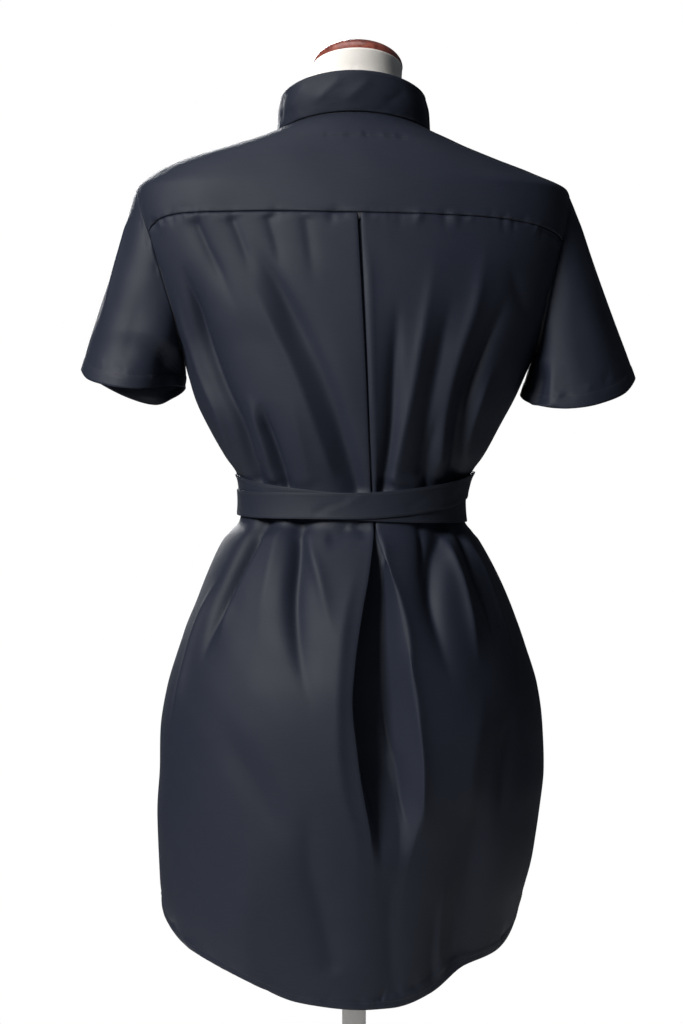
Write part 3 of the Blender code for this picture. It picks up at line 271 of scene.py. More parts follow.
# In front and at the sides, which the photograph doesn't show, the paths are (height, angle).
FRONT_CREASES = creases(
    (1000, 1),
    ("left breast trough", -8.5, 12, 13, 7, 0.55, 0, (1200, 140), (1120, 138), (1064, 137)),
    ("left breast ridge", 3, 6, 8, 3, 0.50, 0.05, (1180, 147), (1110, 146), (1064, 145)),
    ("right breast trough", -8.5, 13, 12, 7, 0.55, 0, (1190, -138), (1120, -140), (1064, -141)),
    ("right breast ridge", 3, 8, 6, 3, 0.50, 0.05, (1190, -129), (1120, -132), (1068, -133)),
    ("left waist trough", -7.5, 9, 11, 5, 0.50, 0, (1170, 114), (1110, 112), (1066, 111)),
    ("right waist trough", -7.5, 11, 9, 5, 0.50, 0, (1165, -112), (1110, -113), (1066, -114)),
    ("left side kink", -4.5, 7, 7, 3, 0.50, 0, (1160, 92), (1105, 94), (1070, 97)),
    ("right side kink", -4, 7, 7, 3, 0.50, 0, (1150, -93), (1105, -95), (1070, -98)),
    ("left of the placket", -4, 7, 7, 3, 0.50, 0, (1130, 157), (1095, 156), (1064, 155)),
    ("right of the placket", -3.6, 7, 7, 3, 0.50, 0, (1125, -156), (1095, -155), (1064, -154)),
    ("left skirt trough", -11.5, 13, 14, 7, 0.02, 0.60, (1026, 142), (930, 146), (790, 150)),
    ("left skirt ridge", 4, 6, 8, 3, 0.05, 0.55, (1022, 134), (960, 136), (860, 139)),
    ("right skirt trough", -11.5, 14, 13, 7, 0.02, 0.60, (1026, -145), (940, -147), (820, -150)),
    ("right skirt ridge", 4, 8, 6, 3, 0.05, 0.55, (1022, -136), (950, -138), (850, -141)),
    ("left front hip trough", -11.5, 12, 13, 7, 0.02, 0.55, (1026, 113), (940, 117), (840, 121)),
    ("right front hip trough", -11.5, 13, 12, 7, 0.02, 0.55, (1026, -115), (950, -119), (850, -123)),
    ("left side seam wave", 4, 10, 10, 4, 0.10, 0.50, (1020, 96), (930, 98), (830, 100)),
    ("right side seam wave", 3.6, 10, 10, 4, 0.10, 0.50, (1020, -97), (935, -99), (840, -101)),
    ("left front low drift", -4, 18, 18, 10, 0.50, 0.30, (780, 132), (700, 130), (620, 128)),
    ("right front low drift", -4.5, 18, 18, 10, 0.50, 0.30, (790, -134), (700, -131), (620, -129)),
    ("left breast fullness", 3, 30, 30, 20, 0.50, 0.50, (1300, 150), (1250, 146), (1200, 144)),
    ("right breast fullness", 3, 30, 30, 20, 0.50, 0.50, (1300, -150), (1250, -146), (1200, -144)),
)

# On a sleeve the paths are (part of the turn, share of the way from the armhole to the hem).
SLEEVE_CREASES = {
    1: creases(
        (1, 1),
        ("outer ridge", 3, 6, 4, 2, 0.20, 0.40, (0.055, 0.08), (0.065, 0.40), (0.070, 0.72)),
        ("outer strip", -3, 6, 4, 3, 0.20, 0.40, (0.020, 0.10), (0.025, 0.45), (0.030, 0.80)),
        ("turned away", -15, 24, 24, 12, 0.50, 0, (0.420, 0.20), (0.405, 0.60), (0.400, 1)),
        ("back soft fold", -3, 12, 14, 8, 0.40, 0.40, (0.200, 0.25), (0.210, 0.60), (0.190, 0.95)),
        ("front soft fold", -4.5, 12, 12, 8, 0.40, 0.10, (0.740, 0.30), (0.750, 0.65), (0.745, 1)),
        ("front ridge", 2.8, 8, 8, 4, 0.40, 0.30, (0.880, 0.15), (0.885, 0.50), (0.880, 0.90)),
    ),
    -1: creases(
        (1, 1),
        ("body side ridge", 3.4, 6, 6, 3, 0.40, 0.05, (0.330, 0.45), (0.352, 0.75), (0.362, 1)),
        ("underarm trough", -7.5, 10, 10, 5, 0.40, 0.05, (0.395, 0.35), (0.415, 0.70), (0.425, 1)),
        ("outer ridge", 2.2, 6, 8, 3, 0.20, 0.50, (0.060, 0.05), (0.070, 0.35), (0.075, 0.65)),
        ("back soft fold", -2.6, 14, 14, 8, 0.40, 0.40, (0.190, 0.20), (0.200, 0.60), (0.205, 0.95)),
        ("front soft fold", -4.5, 12, 12, 8, 0.40, 0.10, (0.730, 0.30), (0.735, 0.65), (0.740, 1)),
        ("front ridge", 2.6, 8, 8, 4, 0.40, 0.30, (0.870, 0.15), (0.875, 0.50), (0.880, 0.90)),
    ),
}

# On the collar and the belt the paths are (height, angle); on the belt height is from its middle.
COLLAR_CREASES = creases(
    (1000, 1),
    ("first streak", 1.3, 4, 4, 2, 0.30, 0.30, (1464, 6), (1452, 18), (1440, 30)),
    ("second streak", 1.1, 4, 4, 2, 0.30, 0.30, (1463, -14), (1450, -3), (1438, 8)),
    ("third streak", -1.1, 4, 5, 2, 0.30, 0.30, (1460, -42), (1448, -31), (1437, -20)),
    ("fourth streak", 1.1, 4, 4, 2, 0.30, 0.30, (1464, 36), (1452, 46), (1441, 55)),
    ("left bend", -1.5, 6, 6, 3, 0.30, 0.30, (1466, 74), (1452, 70), (1434, 69)),
    ("right bend", -1.5, 6, 6, 3, 0.30, 0.30, (1466, -72), (1452, -75), (1434, -78)),
    ("front left wave", 1.2, 6, 6, 3, 0.30, 0.30, (1464, 128), (1450, 134), (1436, 138)),
    ("front right wave", 1.2, 6, 6, 3, 0.30, 0.30, (1464, -126), (1450, -131), (1436, -140)),
)
BELT_CREASES = {
    "outer": creases(
        (1000, 1),
        ("first diagonal", -1.2, 3, 4, 1, 0.20, 0.20, (7, 1), (-1, 11), (-9, 20)),
        ("second diagonal", 0.9, 3, 3, 1, 0.20, 0.20, (10, -6), (2, 4), (-6, 14)),
        ("third diagonal", -1, 3, 4, 1, 0.20, 0.20, (9, -44), (3, -34), (-8, -24)),
        ("fourth diagonal", 1, 4, 4, 1, 0.20, 0.20, (8, -62), (0, -52), (-9, -44)),
        ("side crush", -1, 4, 4, 2, 0.20, 0.20, (9, 64), (1, 60), (-9, 62)),
        ("front left crush", 0.9, 4, 4, 2, 0.20, 0.20, (9, 140), (1, 146), (-9, 150)),
        ("front right crush", -0.9, 4, 4, 2, 0.20, 0.20, (9, -128), (0, -133), (-9, -138)),
    ),
    "inner": creases(
        (1000, 1),
        ("standing crush", -1.1, 2, 3, 1, 0.20, 0.20, (12, -66), (0, -67), (-12, -67)),
        ("second crush", 0.9, 3, 3, 1, 0.20, 0.20, (11, -40), (0, -34), (-12, -30)),
        ("left crush", 0.9, 3, 3, 1, 0.20, 0.20, (11, 52), (0, 44), (-10, 38)),
    ),
}

# Camera: it looks at the back from the height of the waist
CAMERA_DISTANCE, CAMERA_HEIGHT = 2.2, 1.12
METRES_PER_PIXEL = 0.001047  # at the middle of the figure
IMAGE_WIDTH, IMAGE_HEIGHT = 683, 1024
MIDDLE_COLUMN, LEVEL_ROW = 354, 431
ROWS_BY_TILT = 38  # how far the level row lies above the middle because the camera looks down
WAIST_BACK = 0.1  # distance behind the axis at which the back's crease paths are measured


def mix(first, second, share):
    return first + (second - first) * share


def ease(share):
    """0 to 1 with a soft start and end."""
    share = np.clip(share, 0, 1)
    return share * share * (3 - 2 * share)


def unit(vectors):
    return vectors / np.maximum(np.linalg.norm(vectors, axis=-1, keepdims=True), 1e-12)


def joined(*parts):
    """Arrays side by side as points."""
    return np.stack(np.broadcast_arrays(*parts), axis=-1)


def name_of(kind, side):
    return f"{kind}_{'left' if side > 0 else 'right'}"


def cubic(start, stop, leaving, arriving, t):
    """A curve from start to stop with its slopes at both ends."""
    return (start * (1 + 2 * t) * (1 - t) ** 2 + leaving * t * (1 - t) ** 2
            + stop * t * t * (3 - 2 * t) + arriving * t * t * (t - 1))


def smooth_read(places, values, at):
    """Reads values at new places on a smooth curve that never overshoots its rows."""
    places, values = np.asarray(places, float), np.asarray(values, float)
    at = np.clip(np.asarray(at, float), places[0], places[-1])
    gaps = np.diff(places)
    slopes = np.diff(values) / gaps
    same_way = slopes[1:] * slopes[:-1] > 0
    before, after = np.where(same_way, slopes[:-1], 1), np.where(same_way, slopes[1:], 1)
    weight_before, weight_after = 2 * gaps[1:] + gaps[:-1], gaps[1:] + 2 * gaps[:-1]
    mean = 3 * (gaps[1:] + gaps[:-1]) / (weight_before / before + weight_after / after)
    tangents = np.concatenate((slopes[:1], np.where(same_way, mean, 0), slopes[-1:]))
    row = np.clip(np.searchsorted(places, at) - 1, 0, len(gaps) - 1)
    t = (at - places[row]) / gaps[row]
    return cubic(values[row], values[row + 1], tangents[row] * gaps[row], tangents[row + 1] * gaps[row], t)


def read_rows(rows, at):
    """Reads a table of (place, millimetres) rows in metres."""
    return smooth_read([place for place, _ in rows], [value / 1000 for _, value in rows], at)


def loop_read(rows, parts):
    """Reads a closed table of (part of the turn, millimetres...) rows in metres."""
    rows = np.array(rows)
    whole_turn = np.eye(1, rows.shape[1])
    every = np.concatenate((rows[-3:] - whole_turn, rows, rows[:3] + whole_turn))
    places, values = every[:, 0], every[:, 1:] / 1000
    index = np.searchsorted(places, parts, side="right") - 1
    span = (places[index + 1] - places[index])[:, None]
    t = (parts - places[index])[:, None] / span
    leaving, arriving = (
        (values[i + 1] - values[i - 1]) / (places[i + 1] - places[i - 1])[:, None] * span
        for i in (index, index + 1)
    )
    return cubic(values[index], values[index + 1], leaving, arriving, t)


def ring_point(rings, angle, height):
    """Points on a stack of rings, angle in degrees from centre back."""
    heights, *sizes = rings.T
    rise, drop, left, right, behind, front, square = (smooth_read(heights, size, height) for size in sizes)
    turn = np.radians(angle)
    across, back = np.sin(turn), np.cos(turn)
    x = np.where(across > 0, left, right) * across * (1 + square * back**2)
    y = np.where(back > 0, behind, front) * back * (1 + square * across**2)
    return joined(x, y, height + rise * np.maximum(back, 0) ** 2 - drop * np.maximum(-back, 0) ** 2)


def ring_normal(rings, angle, height):
    """Outward normals of a stack of rings."""
    turn, climb = 0.5, 0.001
    around = ring_point(rings, angle + turn, height) - ring_point(rings, angle - turn, height)
    up = ring_point(rings, angle, height + climb) - ring_point(rings, angle, height - climb)
    return -unit(np.cross(around, up))


def on_rings(rings, angle, height, lift):
    """Points on a stack of rings, moved out by lift."""
    return ring_point(rings, angle, height) + ring_normal(rings, angle, height) * lift


def body_size(column, height):
    """One size of the body's rings at a height."""
    return smooth_read(BODY_RINGS[:, HEIGHT], BODY_RINGS[:, column], height)


def half_width(across, height):
    return np.where(np.asarray(across) > 0, body_size(LEFT, height), body_size(RIGHT, height))


def squareness(height):
    return body_size(SQUARENESS, height)


def angle_across(across, height):
    """Angle behind the body at which its ring is this far across."""
    share = np.asarray(across) / half_width(across, height)
    sine = share / (1 + squareness(height))
    for _ in range(4):
        sine = share / (1 + squareness(height) * (1 - sine**2))
    return np.degrees(np.arcsin(np.clip(sine, -1, 1)))


def front_angle(across, height):
    """Angle in front at which the body's ring is this far across, near the middle."""
    return 180 - np.degrees(np.arcsin(across / half_width(across, height) / (1 + squareness(height))))


def place_seen(seen):
    """Points on the body for (height, across) pairs as the camera sees them on the back."""
    heights, across = seen.T
    depth = np.full(heights.shape, WAIST_BACK)
    for _ in range(12):
        reach = (CAMERA_DISTANCE - depth) / (CAMERA_DISTANCE - WAIST_BACK)
        x, z = across * reach, CAMERA_HEIGHT + (heights - CAMERA_HEIGHT) * reach
        most = half_width(x, z) * 0.995
        angle = angle_across(np.clip(x, -most, most), z)
        depth = mix(depth, ring_point(BODY_RINGS, angle, z)[..., 1], 0.7)
    return ring_point(BODY_RINGS, angle, z)


def smooth_path(points, steps=5):
    """More points along a smooth curve through the given ones."""
    ends = np.vstack((2 * points[0] - points[1], points, 2 * points[-1] - points[-2]))
    made = [
        0.5 * (2 * b + (c - a) * t + (2 * a - 5 * b + 4 * c - d) * t**2 + (3 * b - a - 3 * c + d) * t**3)
        for a, b, c, d in zip(ends, ends[1:], ends[2:], ends[3:]) for t in np.arange(steps) / steps
    ]
    return np.array((*made, points[-1]))


def placed(rows, place):
    """Creases with their paths placed in space."""
    return [crease._replace(path=smooth_path(place(crease.path))) for crease in rows]


def relief_of(made, points, normals):
    """How far placed creases move a surface outwards."""
    flat, facing = points.reshape(-1, 3), normals.reshape(-1, 3)
    relief = np.zeros(len(flat))
    for crease in made:
        path = crease.path
        reach = 5 * max(crease.left, crease.right) + 2 * crease.round
        near = np.flatnonzero(((flat > path.min(0) - reach) & (flat < path.max(0) + reach)).all(1))
        if not near.size:
            continue
        at, normal = flat[near], facing[near]
        best, side, share = np.full(len(near), 1.0), np.zeros(len(near)), np.zeros(len(near))
        for i in range(len(path) - 1):
            run = path[i + 1] - path[i]
            t = np.clip(((at - path[i]) @ run) / (run @ run), 0, 1)
            off = at - path[i] - t[:, None] * run
            away = np.linalg.norm(off, axis=1)
            closer = away < best
            best = np.where(closer, away, best)
            share = np.where(closer, (i + t) / (len(path) - 1), share)
            side = np.where(closer, (off * np.cross(run, normal)).sum(1), side)
        width = np.where(side > 0, crease.left, crease.right)
        form = np.exp(-(np.hypot(best, crease.round) - crease.round) / width)
        if crease.fade_top:
            form = form * ease(share / crease.fade_top)
        if crease.fade_low:
            form = form * ease((1 - share) / crease.fade_low)
        relief[near] += crease.depth * form
    return relief.reshape(points.shape[:-1])


def small_creases(seed, places, depth, length, width, lean=0.0):
    """Short uneven puckers. Each place is a point on the seam and the way a pucker runs from it."""
    draw = np.random.default_rng(seed)
    made = []
    for point, away, along in places:
        size = length * draw.uniform(0.45, 1.25)
        way = away + along * (lean + draw.uniform(-0.25, 0.25))
        wide = width * draw.uniform(0.7, 1.3)
        deep = depth * draw.uniform(0.3, 1.2) * draw.choice((-1, -1, 1))
        path = point + np.outer(np.linspace(0.0005, size, 4), way)
        made.append(Crease(deep, wide, wide, width * 0.4, 0, 0.9, path))
    return made


def seam_places(line, seed, count, down):
    """Uneven places along a seam line of points, and the way down or up the cloth there."""
    draw = np.random.default_rng(seed)
    along = unit(np.gradient(line, axis=0))
    picks = np.sort(draw.choice(np.arange(2, len(line) - 2), count, replace=False))
    across = unit(np.cross(along, unit(line * (1, 1, 0))))
    across *= np.where(across[:, 2:] > 0, -1, 1) * (1 if down else -1)
    return [(line[i], across[i], along[i]) for i in picks]


def drift(points, size):
    """A slow uneven swell of the cloth, so that no stretch of it is perfectly even."""
    x, y, z = np.moveaxis(points, -1, 0)
    swell = np.sin(31 * x + 17 * z + 1.3) * np.sin(23 * z - 19 * y + 0.4)
    finer = np.sin(83 * x - 47 * z + 2.1) * np.sin(61 * z + 71 * y + 0.9)
    return size * (swell + 0.45 * finer)


def belt_freedom(angle, height):
    """0 under the belt, growing to 1 a little above and below it."""
    lines = [read_rows(line, angle) for line in BELT_TURNS.values()]
    covered = BELT_WIDTH / 2 + BELT_MARGIN
    top, bottom = np.maximum(*lines) + covered, np.minimum(*lines) - covered
    return ease(np.maximum(height - top, bottom - height) / BELT_BLEND)


def armhole_reach(side, height, front):
    """How far the armhole reaches in from the side at a height, in degrees, 0 below the underarm."""
    hole = ARMHOLES[side]
    middle = mix(UNDERARM, hole.top, 0.5)
    share = np.clip((height - middle) / (hole.top - middle), -1, 1)
    return np.where(front, hole.reach_front, hole.reach_back) * np.sqrt(1 - np.abs(share) ** ARMHOLE_ROUND)


def armhole_height(side, reach, front):
    """The upper height at which the armhole reaches this far in."""
    hole = ARMHOLES[side]
    share = np.clip(reach / np.where(front, hole.reach_front, hole.reach_back), 0, 1)
    return mix(mix(UNDERARM, hole.top, 0.5), hole.top, (1 - share**2) ** (1 / ARMHOLE_ROUND))


def armhole_loop(side, parts, lift=0.0, grown=1.0):
    """Points round the armhole, 0 at the shoulder tip, 0.25 behind and 0.5 under the arm."""
    top = ARMHOLES[side].top
    middle = mix(UNDERARM, top, 0.5)
    heights = middle + (top - middle) * np.cos(2 * np.pi * parts)
    reach = armhole_reach(side, heights, parts > 0.5) * grown
    angles = side * np.where(parts > 0.5, 90 + reach, 90 - reach)
    return on_rings(BODY_RINGS, angles, middle + (heights - middle) * grown, lift)


def side_edge(side, height, front):
    """Angle of a panel's side edge: the armhole above the underarm and the side seam below."""
    reach = np.where(height > UNDERARM, armhole_reach(side, height, front), 0.0)
    reach = reach + math.degrees(SEAM_GAP / 2 / SIDE_RADIUS)
    return side * (90 + reach if front else 90 - reach)


def yoke_wrap(side, height):
    """How far past the shoulder line the yoke's front edge lies, in degrees."""
    tip = ARMHOLES[side].top
    return mix(YOKE_WRAP_TIP, YOKE_WRAP_NECK, np.clip((height - tip) / (NECK - tip), 0, 1))


def yoke_seam(reach, count):
    """Angles and heights along the yoke's seam, out to a share of the way to the armholes."""
    shares = np.linspace(-reach, reach, count)
    heights = read_rows(YOKE_SEAM, shares)
    return shares * np.where(shares > 0, side_edge(1, heights, False), -side_edge(-1, heights, False)), heights


def row_height(top, bottom, share):
    """Height of one row of a panel: share 0 is its lower edge, 0.5 the waist and 1 its top."""
    return np.where(share < 0.5, mix(bottom, WAIST, share * 2), mix(WAIST, top, share * 2 - 1))


def row_shares(top):
    """Rows of a panel, closer together beside the belt, just above the underarm and at its edges."""
    under = 0.5 + 0.5 * (UNDERARM - WAIST) / (top - WAIST)
    beside_underarm = under - 0.02, under, under + 0.004, under + 0.02
    places = (0, 0.02, 0.10, 0.30, 0.44, 0.5, 0.56, *beside_underarm, 0.92, 0.98, 1)
    rows = (0, 10, 22, 55, 84, 98, 112, 138, 143, 150, 158, 174, 186, 195)
    return np.interp(np.arange(rows[-1] + 1), rows, places)


def drawn_in(reach, share, height):
    """How far the armhole's reach draws in a column of a panel, its share of the way to the side:
    mostly the outer columns near the underarm, evenly at the yoke."""
    steep = np.clip(60 / np.maximum(np.abs(reach), 1), 1, 7)
    return reach * share ** mix(steep, 1.0, ease((height - 1.235) / 0.07))


def body_creases():
    """The creases of the body and the puckers along its seams."""
    made = []
    for crease in BACK_CREASES:
        # A trough is seen by its wall on the wearer's left, which is turned from the light.
        to_line = SHADED_WALL * crease.left if crease.depth < 0 else 0.0
        made += placed([crease], lambda path: place_seen(path - (0, to_line)))
    made += placed(FRONT_CREASES, lambda path: ring_point(BODY_RINGS, path[:, 1], path[:, 0]))
    seam = ring_point(BODY_RINGS, *yoke_seam(0.97, 240))
    around = np.linspace(-178, 178, 700)
    hem = ring_point(BODY_RINGS, around, read_rows(HEM, around) + HEM_DEPTH)
    neck = ring_point(BODY_RINGS, np.linspace(-125, 125, 300), np.full(300, NECK - 0.001))
    neck_row = ring_point(BODY_RINGS, np.linspace(*NECK_STITCHES_REACH, 60), np.full(60, NECK_STITCHES))
    for seed, line, picks, count, down, depth, length, width, lean in (
        (5, seam, 11, 52, True, 0.0012, 0.017, 0.0026, 0),
        (6, seam, 12, 30, False, 0.0007, 0.011, 0.0026, 0),
        (7, hem, 13, 90, True, 0.0010, 0.008, 0.0022, 0.8),
        (8, hem, 14, 80, False, 0.0010, 0.016, 0.0028, -0.5),
        (9, neck, 15, 46, True, 0.0007, 0.012, 0.0022, 0),
        (46, neck_row, 47, 14, True, 0.0005, 0.012, 0.0022, 0),
        (48, neck_row, 49, 14, False, 0.0005, 0.010, 0.0022, 0),
    ):
        made += small_creases(seed, seam_places(line, picks, count, down), depth, length, width, lean)
    for side in (1, -1):
        for number, (start, stop) in enumerate(((0.06, 0.38), (0.62, 0.94))):
            loop = armhole_loop(side, np.linspace(start, stop, 80))
            inwards = unit(loop.mean(axis=0) * (0.2, 1, 1) - loop)
            along = unit(np.gradient(loop, axis=0))
            picks = np.random.default_rng(20 + side + 4 * number).choice(np.arange(3, 77), 15, replace=False)
            places = [(loop[i], inwards[i], along[i]) for i in picks]
            made += small_creases(30 + side + 4 * number, places, 0.0008, 0.012, 0.0026)
    return made


def body_cloth(angle, height, lift=0.0):
    """Points on the outer face of the creased cloth, moved out by lift."""
    wrapped = (angle + 180) % 360 - 180
    base, out = ring_point(BODY_RINGS, wrapped, height), ring_normal(BODY_RINGS, wrapped, height)
    relief = relief_of(CREASES, base, out) + drift(base, 0.0005)
    clear = ((base - ring_point(FORM_RINGS, wrapped, height)) * out).sum(axis=-1)
    deepest = np.clip(clear - FORM_ROOM, 0.0015, DEEPEST)
    relief = np.where(relief < 0, -deepest * np.tanh(-relief / deepest), relief * belt_freedom(wrapped, height))
    return base + out * (relief * ease((NECK - height) / 0.008) + lift)[..., None]


def new_mesh_piece(name, points, faces, finish):
    mesh = bpy.data.meshes.new(name)
    mesh.from_pydata(points.reshape(-1, 3).tolist(), [], faces)
    mesh.update()
    mesh.shade_smooth()
    obj = bpy.data.objects.new(name, mesh)
    bpy.context.scene.collection.objects.link(obj)
    mesh.materials.append(finish)
    return obj


def tube_faces(rows, columns, start=0):
    """Quads of a closed grid of points."""
    index = start + np.arange(rows * columns).reshape(rows, columns)
    after = np.roll(index, -1, axis=1)
    return np.stack((index[:-1], after[:-1], after[1:], index[1:]), axis=-1).reshape(-1, 4)


def arc_lengths(grid, axis):
    """Running length along one way of a grid, from its middle."""
    steps = np.linalg.norm(np.diff(grid, axis=axis), axis=-1)
    start = np.zeros_like(np.take(steps, [0], axis=axis))
    lengths = np.concatenate((start, np.cumsum(steps, axis=axis)), axis=axis)
    return lengths - np.take(lengths, [lengths.shape[axis] // 2], axis=axis)


def quad_corners(grid):
    return np.stack((grid[:-1, :-1], grid[1:, :-1], grid[1:, 1:], grid[:-1, 1:]), axis=2)


def grid_piece(name, grid, finish, shell=0.0, closed=False):
    """A sheet through a grid of points, rows going up and columns round to the wearer's left.
    Its UV map is in metres along the cloth, for the weave."""
    index = np.arange(grid[..., 0].size).reshape(grid.shape[:2])
    spread = grid
    if closed:
        index, spread = (np.concatenate((part, part[:, :1]), axis=1) for part in (index, grid))
    obj = new_mesh_piece(name, grid, quad_corners(index).reshape(-1, 4).tolist(), finish)
    place = np.stack((arc_lengths(spread, 1), arc_lengths(spread, 0)), axis=-1)
    weave = obj.data.uv_layers.new(name="weave")
    weave.data.foreach_set("uv", quad_corners(place).reshape(-1).astype(np.float32))
    if shell:
        solid = obj.modifiers.new("wall", "SOLIDIFY")
        solid.thickness, solid.offset, solid.use_quality_normals = shell, -1, True
    return obj


def finish_piece(obj, slot, *nodes):
    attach(obj, "root")
    if nodes:
        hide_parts(*nodes)
    return obj


def add_node(tree, kind, inputs, out=0, **settings):
    """Adds a shader node, sets it up, feeds its inputs and returns one of its outputs, or all."""
    node = tree.nodes.new("ShaderNode" + kind)
    for key, value in settings.items():
        setattr(node, key, value)
    for socket, source in inputs.items():
        if isinstance(source, bpy.types.NodeSocket):
            tree.links.new(source, node.inputs[socket])
        else:
            node.inputs[socket].default_value = source
    return node.outputs if out is None else node.outputs[out]


def maths(tree, operation, *sources):
    return add_node(tree, "Math", dict(enumerate(sources)), operation=operation)


def weighted(tree, *parts):
    """A sum of values, each times its weight."""
    total = 0.0
    for source, weight in parts:
        total = maths(tree, "ADD", total, maths(tree, "MULTIPLY", source, weight))
    return total


def ranged(tree, source, low, high, start=0.0, stop=1.0):
    return add_node(tree, "MapRange", {0: source, 1: low, 2: high, 3: start, 4: stop})


def noise(tree, place, scale, detail=2.0, distortion=0.0):
    inputs = {"Vector": place, "Scale": scale, "Detail": detail, "Distortion": distortion}
    return add_node(tree, "TexNoise", inputs)


def spaced(values):
    """The same values by their sockets' names, which have spaces."""
    return {name.replace("_", " "): value for name, value in values.items()}


def new_group(name, outputs, **inputs):
    """An empty shader node group that takes a place and numbers, with its start's and end's sockets."""
    tree = bpy.data.node_groups.new(name, "ShaderNodeTree")
    tree.interface.new_socket("Place", in_out="INPUT", socket_type="NodeSocketVector")
    for label, value in spaced(inputs).items():
        socket = tree.interface.new_socket(label, in_out="INPUT", socket_type="NodeSocketFloat")
        socket.default_value = value
    for label in outputs:
        tree.interface.new_socket(label, in_out="OUTPUT", socket_type="NodeSocketFloat")
    return tree, tree.nodes.new("NodeGroupInput").outputs, tree.nodes.new("NodeGroupOutput").inputs


def fine_weave():
    """A close twill: thread heights, and how much thread shows, from the UV map in metres."""
    tree, given, result = new_group("fine_weave", ("Height", "Thread"), Threads=2600.0)
    split = add_node(tree, "SeparateXYZ", {0: given["Place"]}, None)
    warp, weft = (maths(tree, "MULTIPLY", split[i], given["Threads"]) for i in (0, 1))
    ribs = maths(tree, "SINE", maths(tree, "MULTIPLY", maths(tree, "ADD", warp, weft), math.pi))
    threads = maths(tree, "SINE", maths(tree, "MULTIPLY", warp, 2 * math.pi))
    height = weighted(tree, (ribs, 0.6), (threads, 0.4))
    tree.links.new(height, result["Height"])
    tree.links.new(ranged(tree, height, -1.0, 1.0), result["Thread"])


def weft_slubs():
    """Uneven thicker weft threads, long along the cloth and close together up it, from 0 to 1."""
    tree, given, result = new_group("weft_slubs", ("Slub",))
    stretched = add_node(tree, "Mapping", {"Vector": given["Place"], "Scale": (36.0, 1150.0, 1.0)})
    tree.links.new(ranged(tree, noise(tree, stretched, 1.0, 3.0), 0.35, 0.65), result["Slub"])


def soft_variation():
    """A slow patchiness and a fine one, each from 0 to 1."""
    tree, given, result = new_group("soft_variation", ("Slow", "Fine"), Slow_scale=9.0, Fine_scale=420.0)
    for label, detail in (("Slow", 3.0), ("Fine", 2.0)):
        tree.links.new(noise(tree, given["Place"], given[label + " scale"], detail), result[label])


def rubbed_edge():
    """How far a spot stands out as an edge, from 0 to 1, broken up unevenly."""
    tree, given, result = new_group("rubbed_edge", ("Edge",))
    bend = ranged(tree, add_node(tree, "NewGeometry", {}, "Pointiness"), 0.50, 0.60)
    tree.links.new(maths(tree, "MULTIPLY", bend, noise(tree, given["Place"], 160.0)), result["Edge"])


def new_material(name, roughness, **settings):
    """A material with its tree, its shader's inputs and the place on the object."""
    made = bpy.data.materials.new(name)
    made.use_nodes = True
    shader = made.node_tree.nodes["Principled BSDF"].inputs
    for socket, value in spaced({"Roughness": roughness, **settings}).items():
        shader[socket].default_value = value
    return made, made.node_tree, shader, add_node(made.node_tree, "TexCoord", {}, "Object")


def use_group(tree, name, place, **values):
    inputs = {"Place": place, **spaced(values)}
    return add_node(tree, "Group", inputs, None, node_tree=bpy.data.node_groups[name])


def shade(tree, shader, share, colours, gloss, height, strength, distance):
    """Mixes a shader's colour from two, varies its roughness by a pattern and adds its bump."""
    dark, light = colours
    colour = add_node(tree, "Mix", {0: share, 6: (*dark, 1), 7: (*light, 1)}, 2, data_type="RGBA")
    tree.links.new(colour, shader["Base Color"])
    if gloss:
        tree.links.new(ranged(tree, gloss[0], 0.3, 0.7, *gloss[1:]), shader["Roughness"])
    bump = add_node(tree, "Bump", {"Height": height, "Strength": strength, "Distance": distance})
    tree.links.new(bump, shader["Normal"])


def woven_material(
    name, dark, light, roughness, threads=2400.0, slow_scale=9.0, weave_depth=0.00006, **settings
):
    """Cloth: close weave, slow patchiness of colour and gloss, and rubbed folds."""
    made, tree, shader, place = new_material(name, roughness, **settings)
    along = add_node(tree, "UVMap", {}, uv_map="weave")
    weave = use_group(tree, "fine_weave", along, Threads=threads)
    slub = use_group(tree, "weft_slubs", along)["Slub"]
    slow = use_group(tree, "soft_variation", place, Slow_scale=slow_scale)["Slow"]
    edge = use_group(tree, "rubbed_edge", place)["Edge"]
    share = weighted(tree, (slow, 0.35), (weave["Thread"], 0.25), (slub, 0.20), (edge, 0.25))
    raised = weighted(tree, (weave["Height"], 1.0), (slub, 0.5))
    gloss = slow, roughness + 0.05, roughness - 0.05
    shade(tree, shader, share, (dark, light), gloss, raised, 0.45, weave_depth)
    return made


def thread_material(name, dark, light):
    """Sewing thread with a twist."""
    made, tree, shader, place = new_material(name, 0.55)
    inputs = {"Vector": place, "Scale": 900.0, "Distortion": 1.5}
    twist = add_node(tree, "TexWave", inputs, "Fac", bands_direction="DIAGONAL")
    shade(tree, shader, twist, (dark, light), None, twist, 0.5, 0.00008)
    return made


def even_material(name, dark, light, roughness, scales, patchy, worn, gloss, bump, **settings):
    """Plastic, paint or floor: slow patches, a fine uneven surface and edges worn to another tone."""
    made, tree, shader, place = new_material(name, roughness, **settings)
    patches = use_group(tree, "soft_variation", place, Slow_scale=scales[0], Fine_scale=scales[1])
    edge = use_group(tree, "rubbed_edge", place)["Edge"]
    share = weighted(tree, (patches["Slow"], patchy), (edge, worn))
    shade(tree, shader, share, (dark, light), (patches["Slow"], *gloss), patches["Fine"], *bump)
    return made


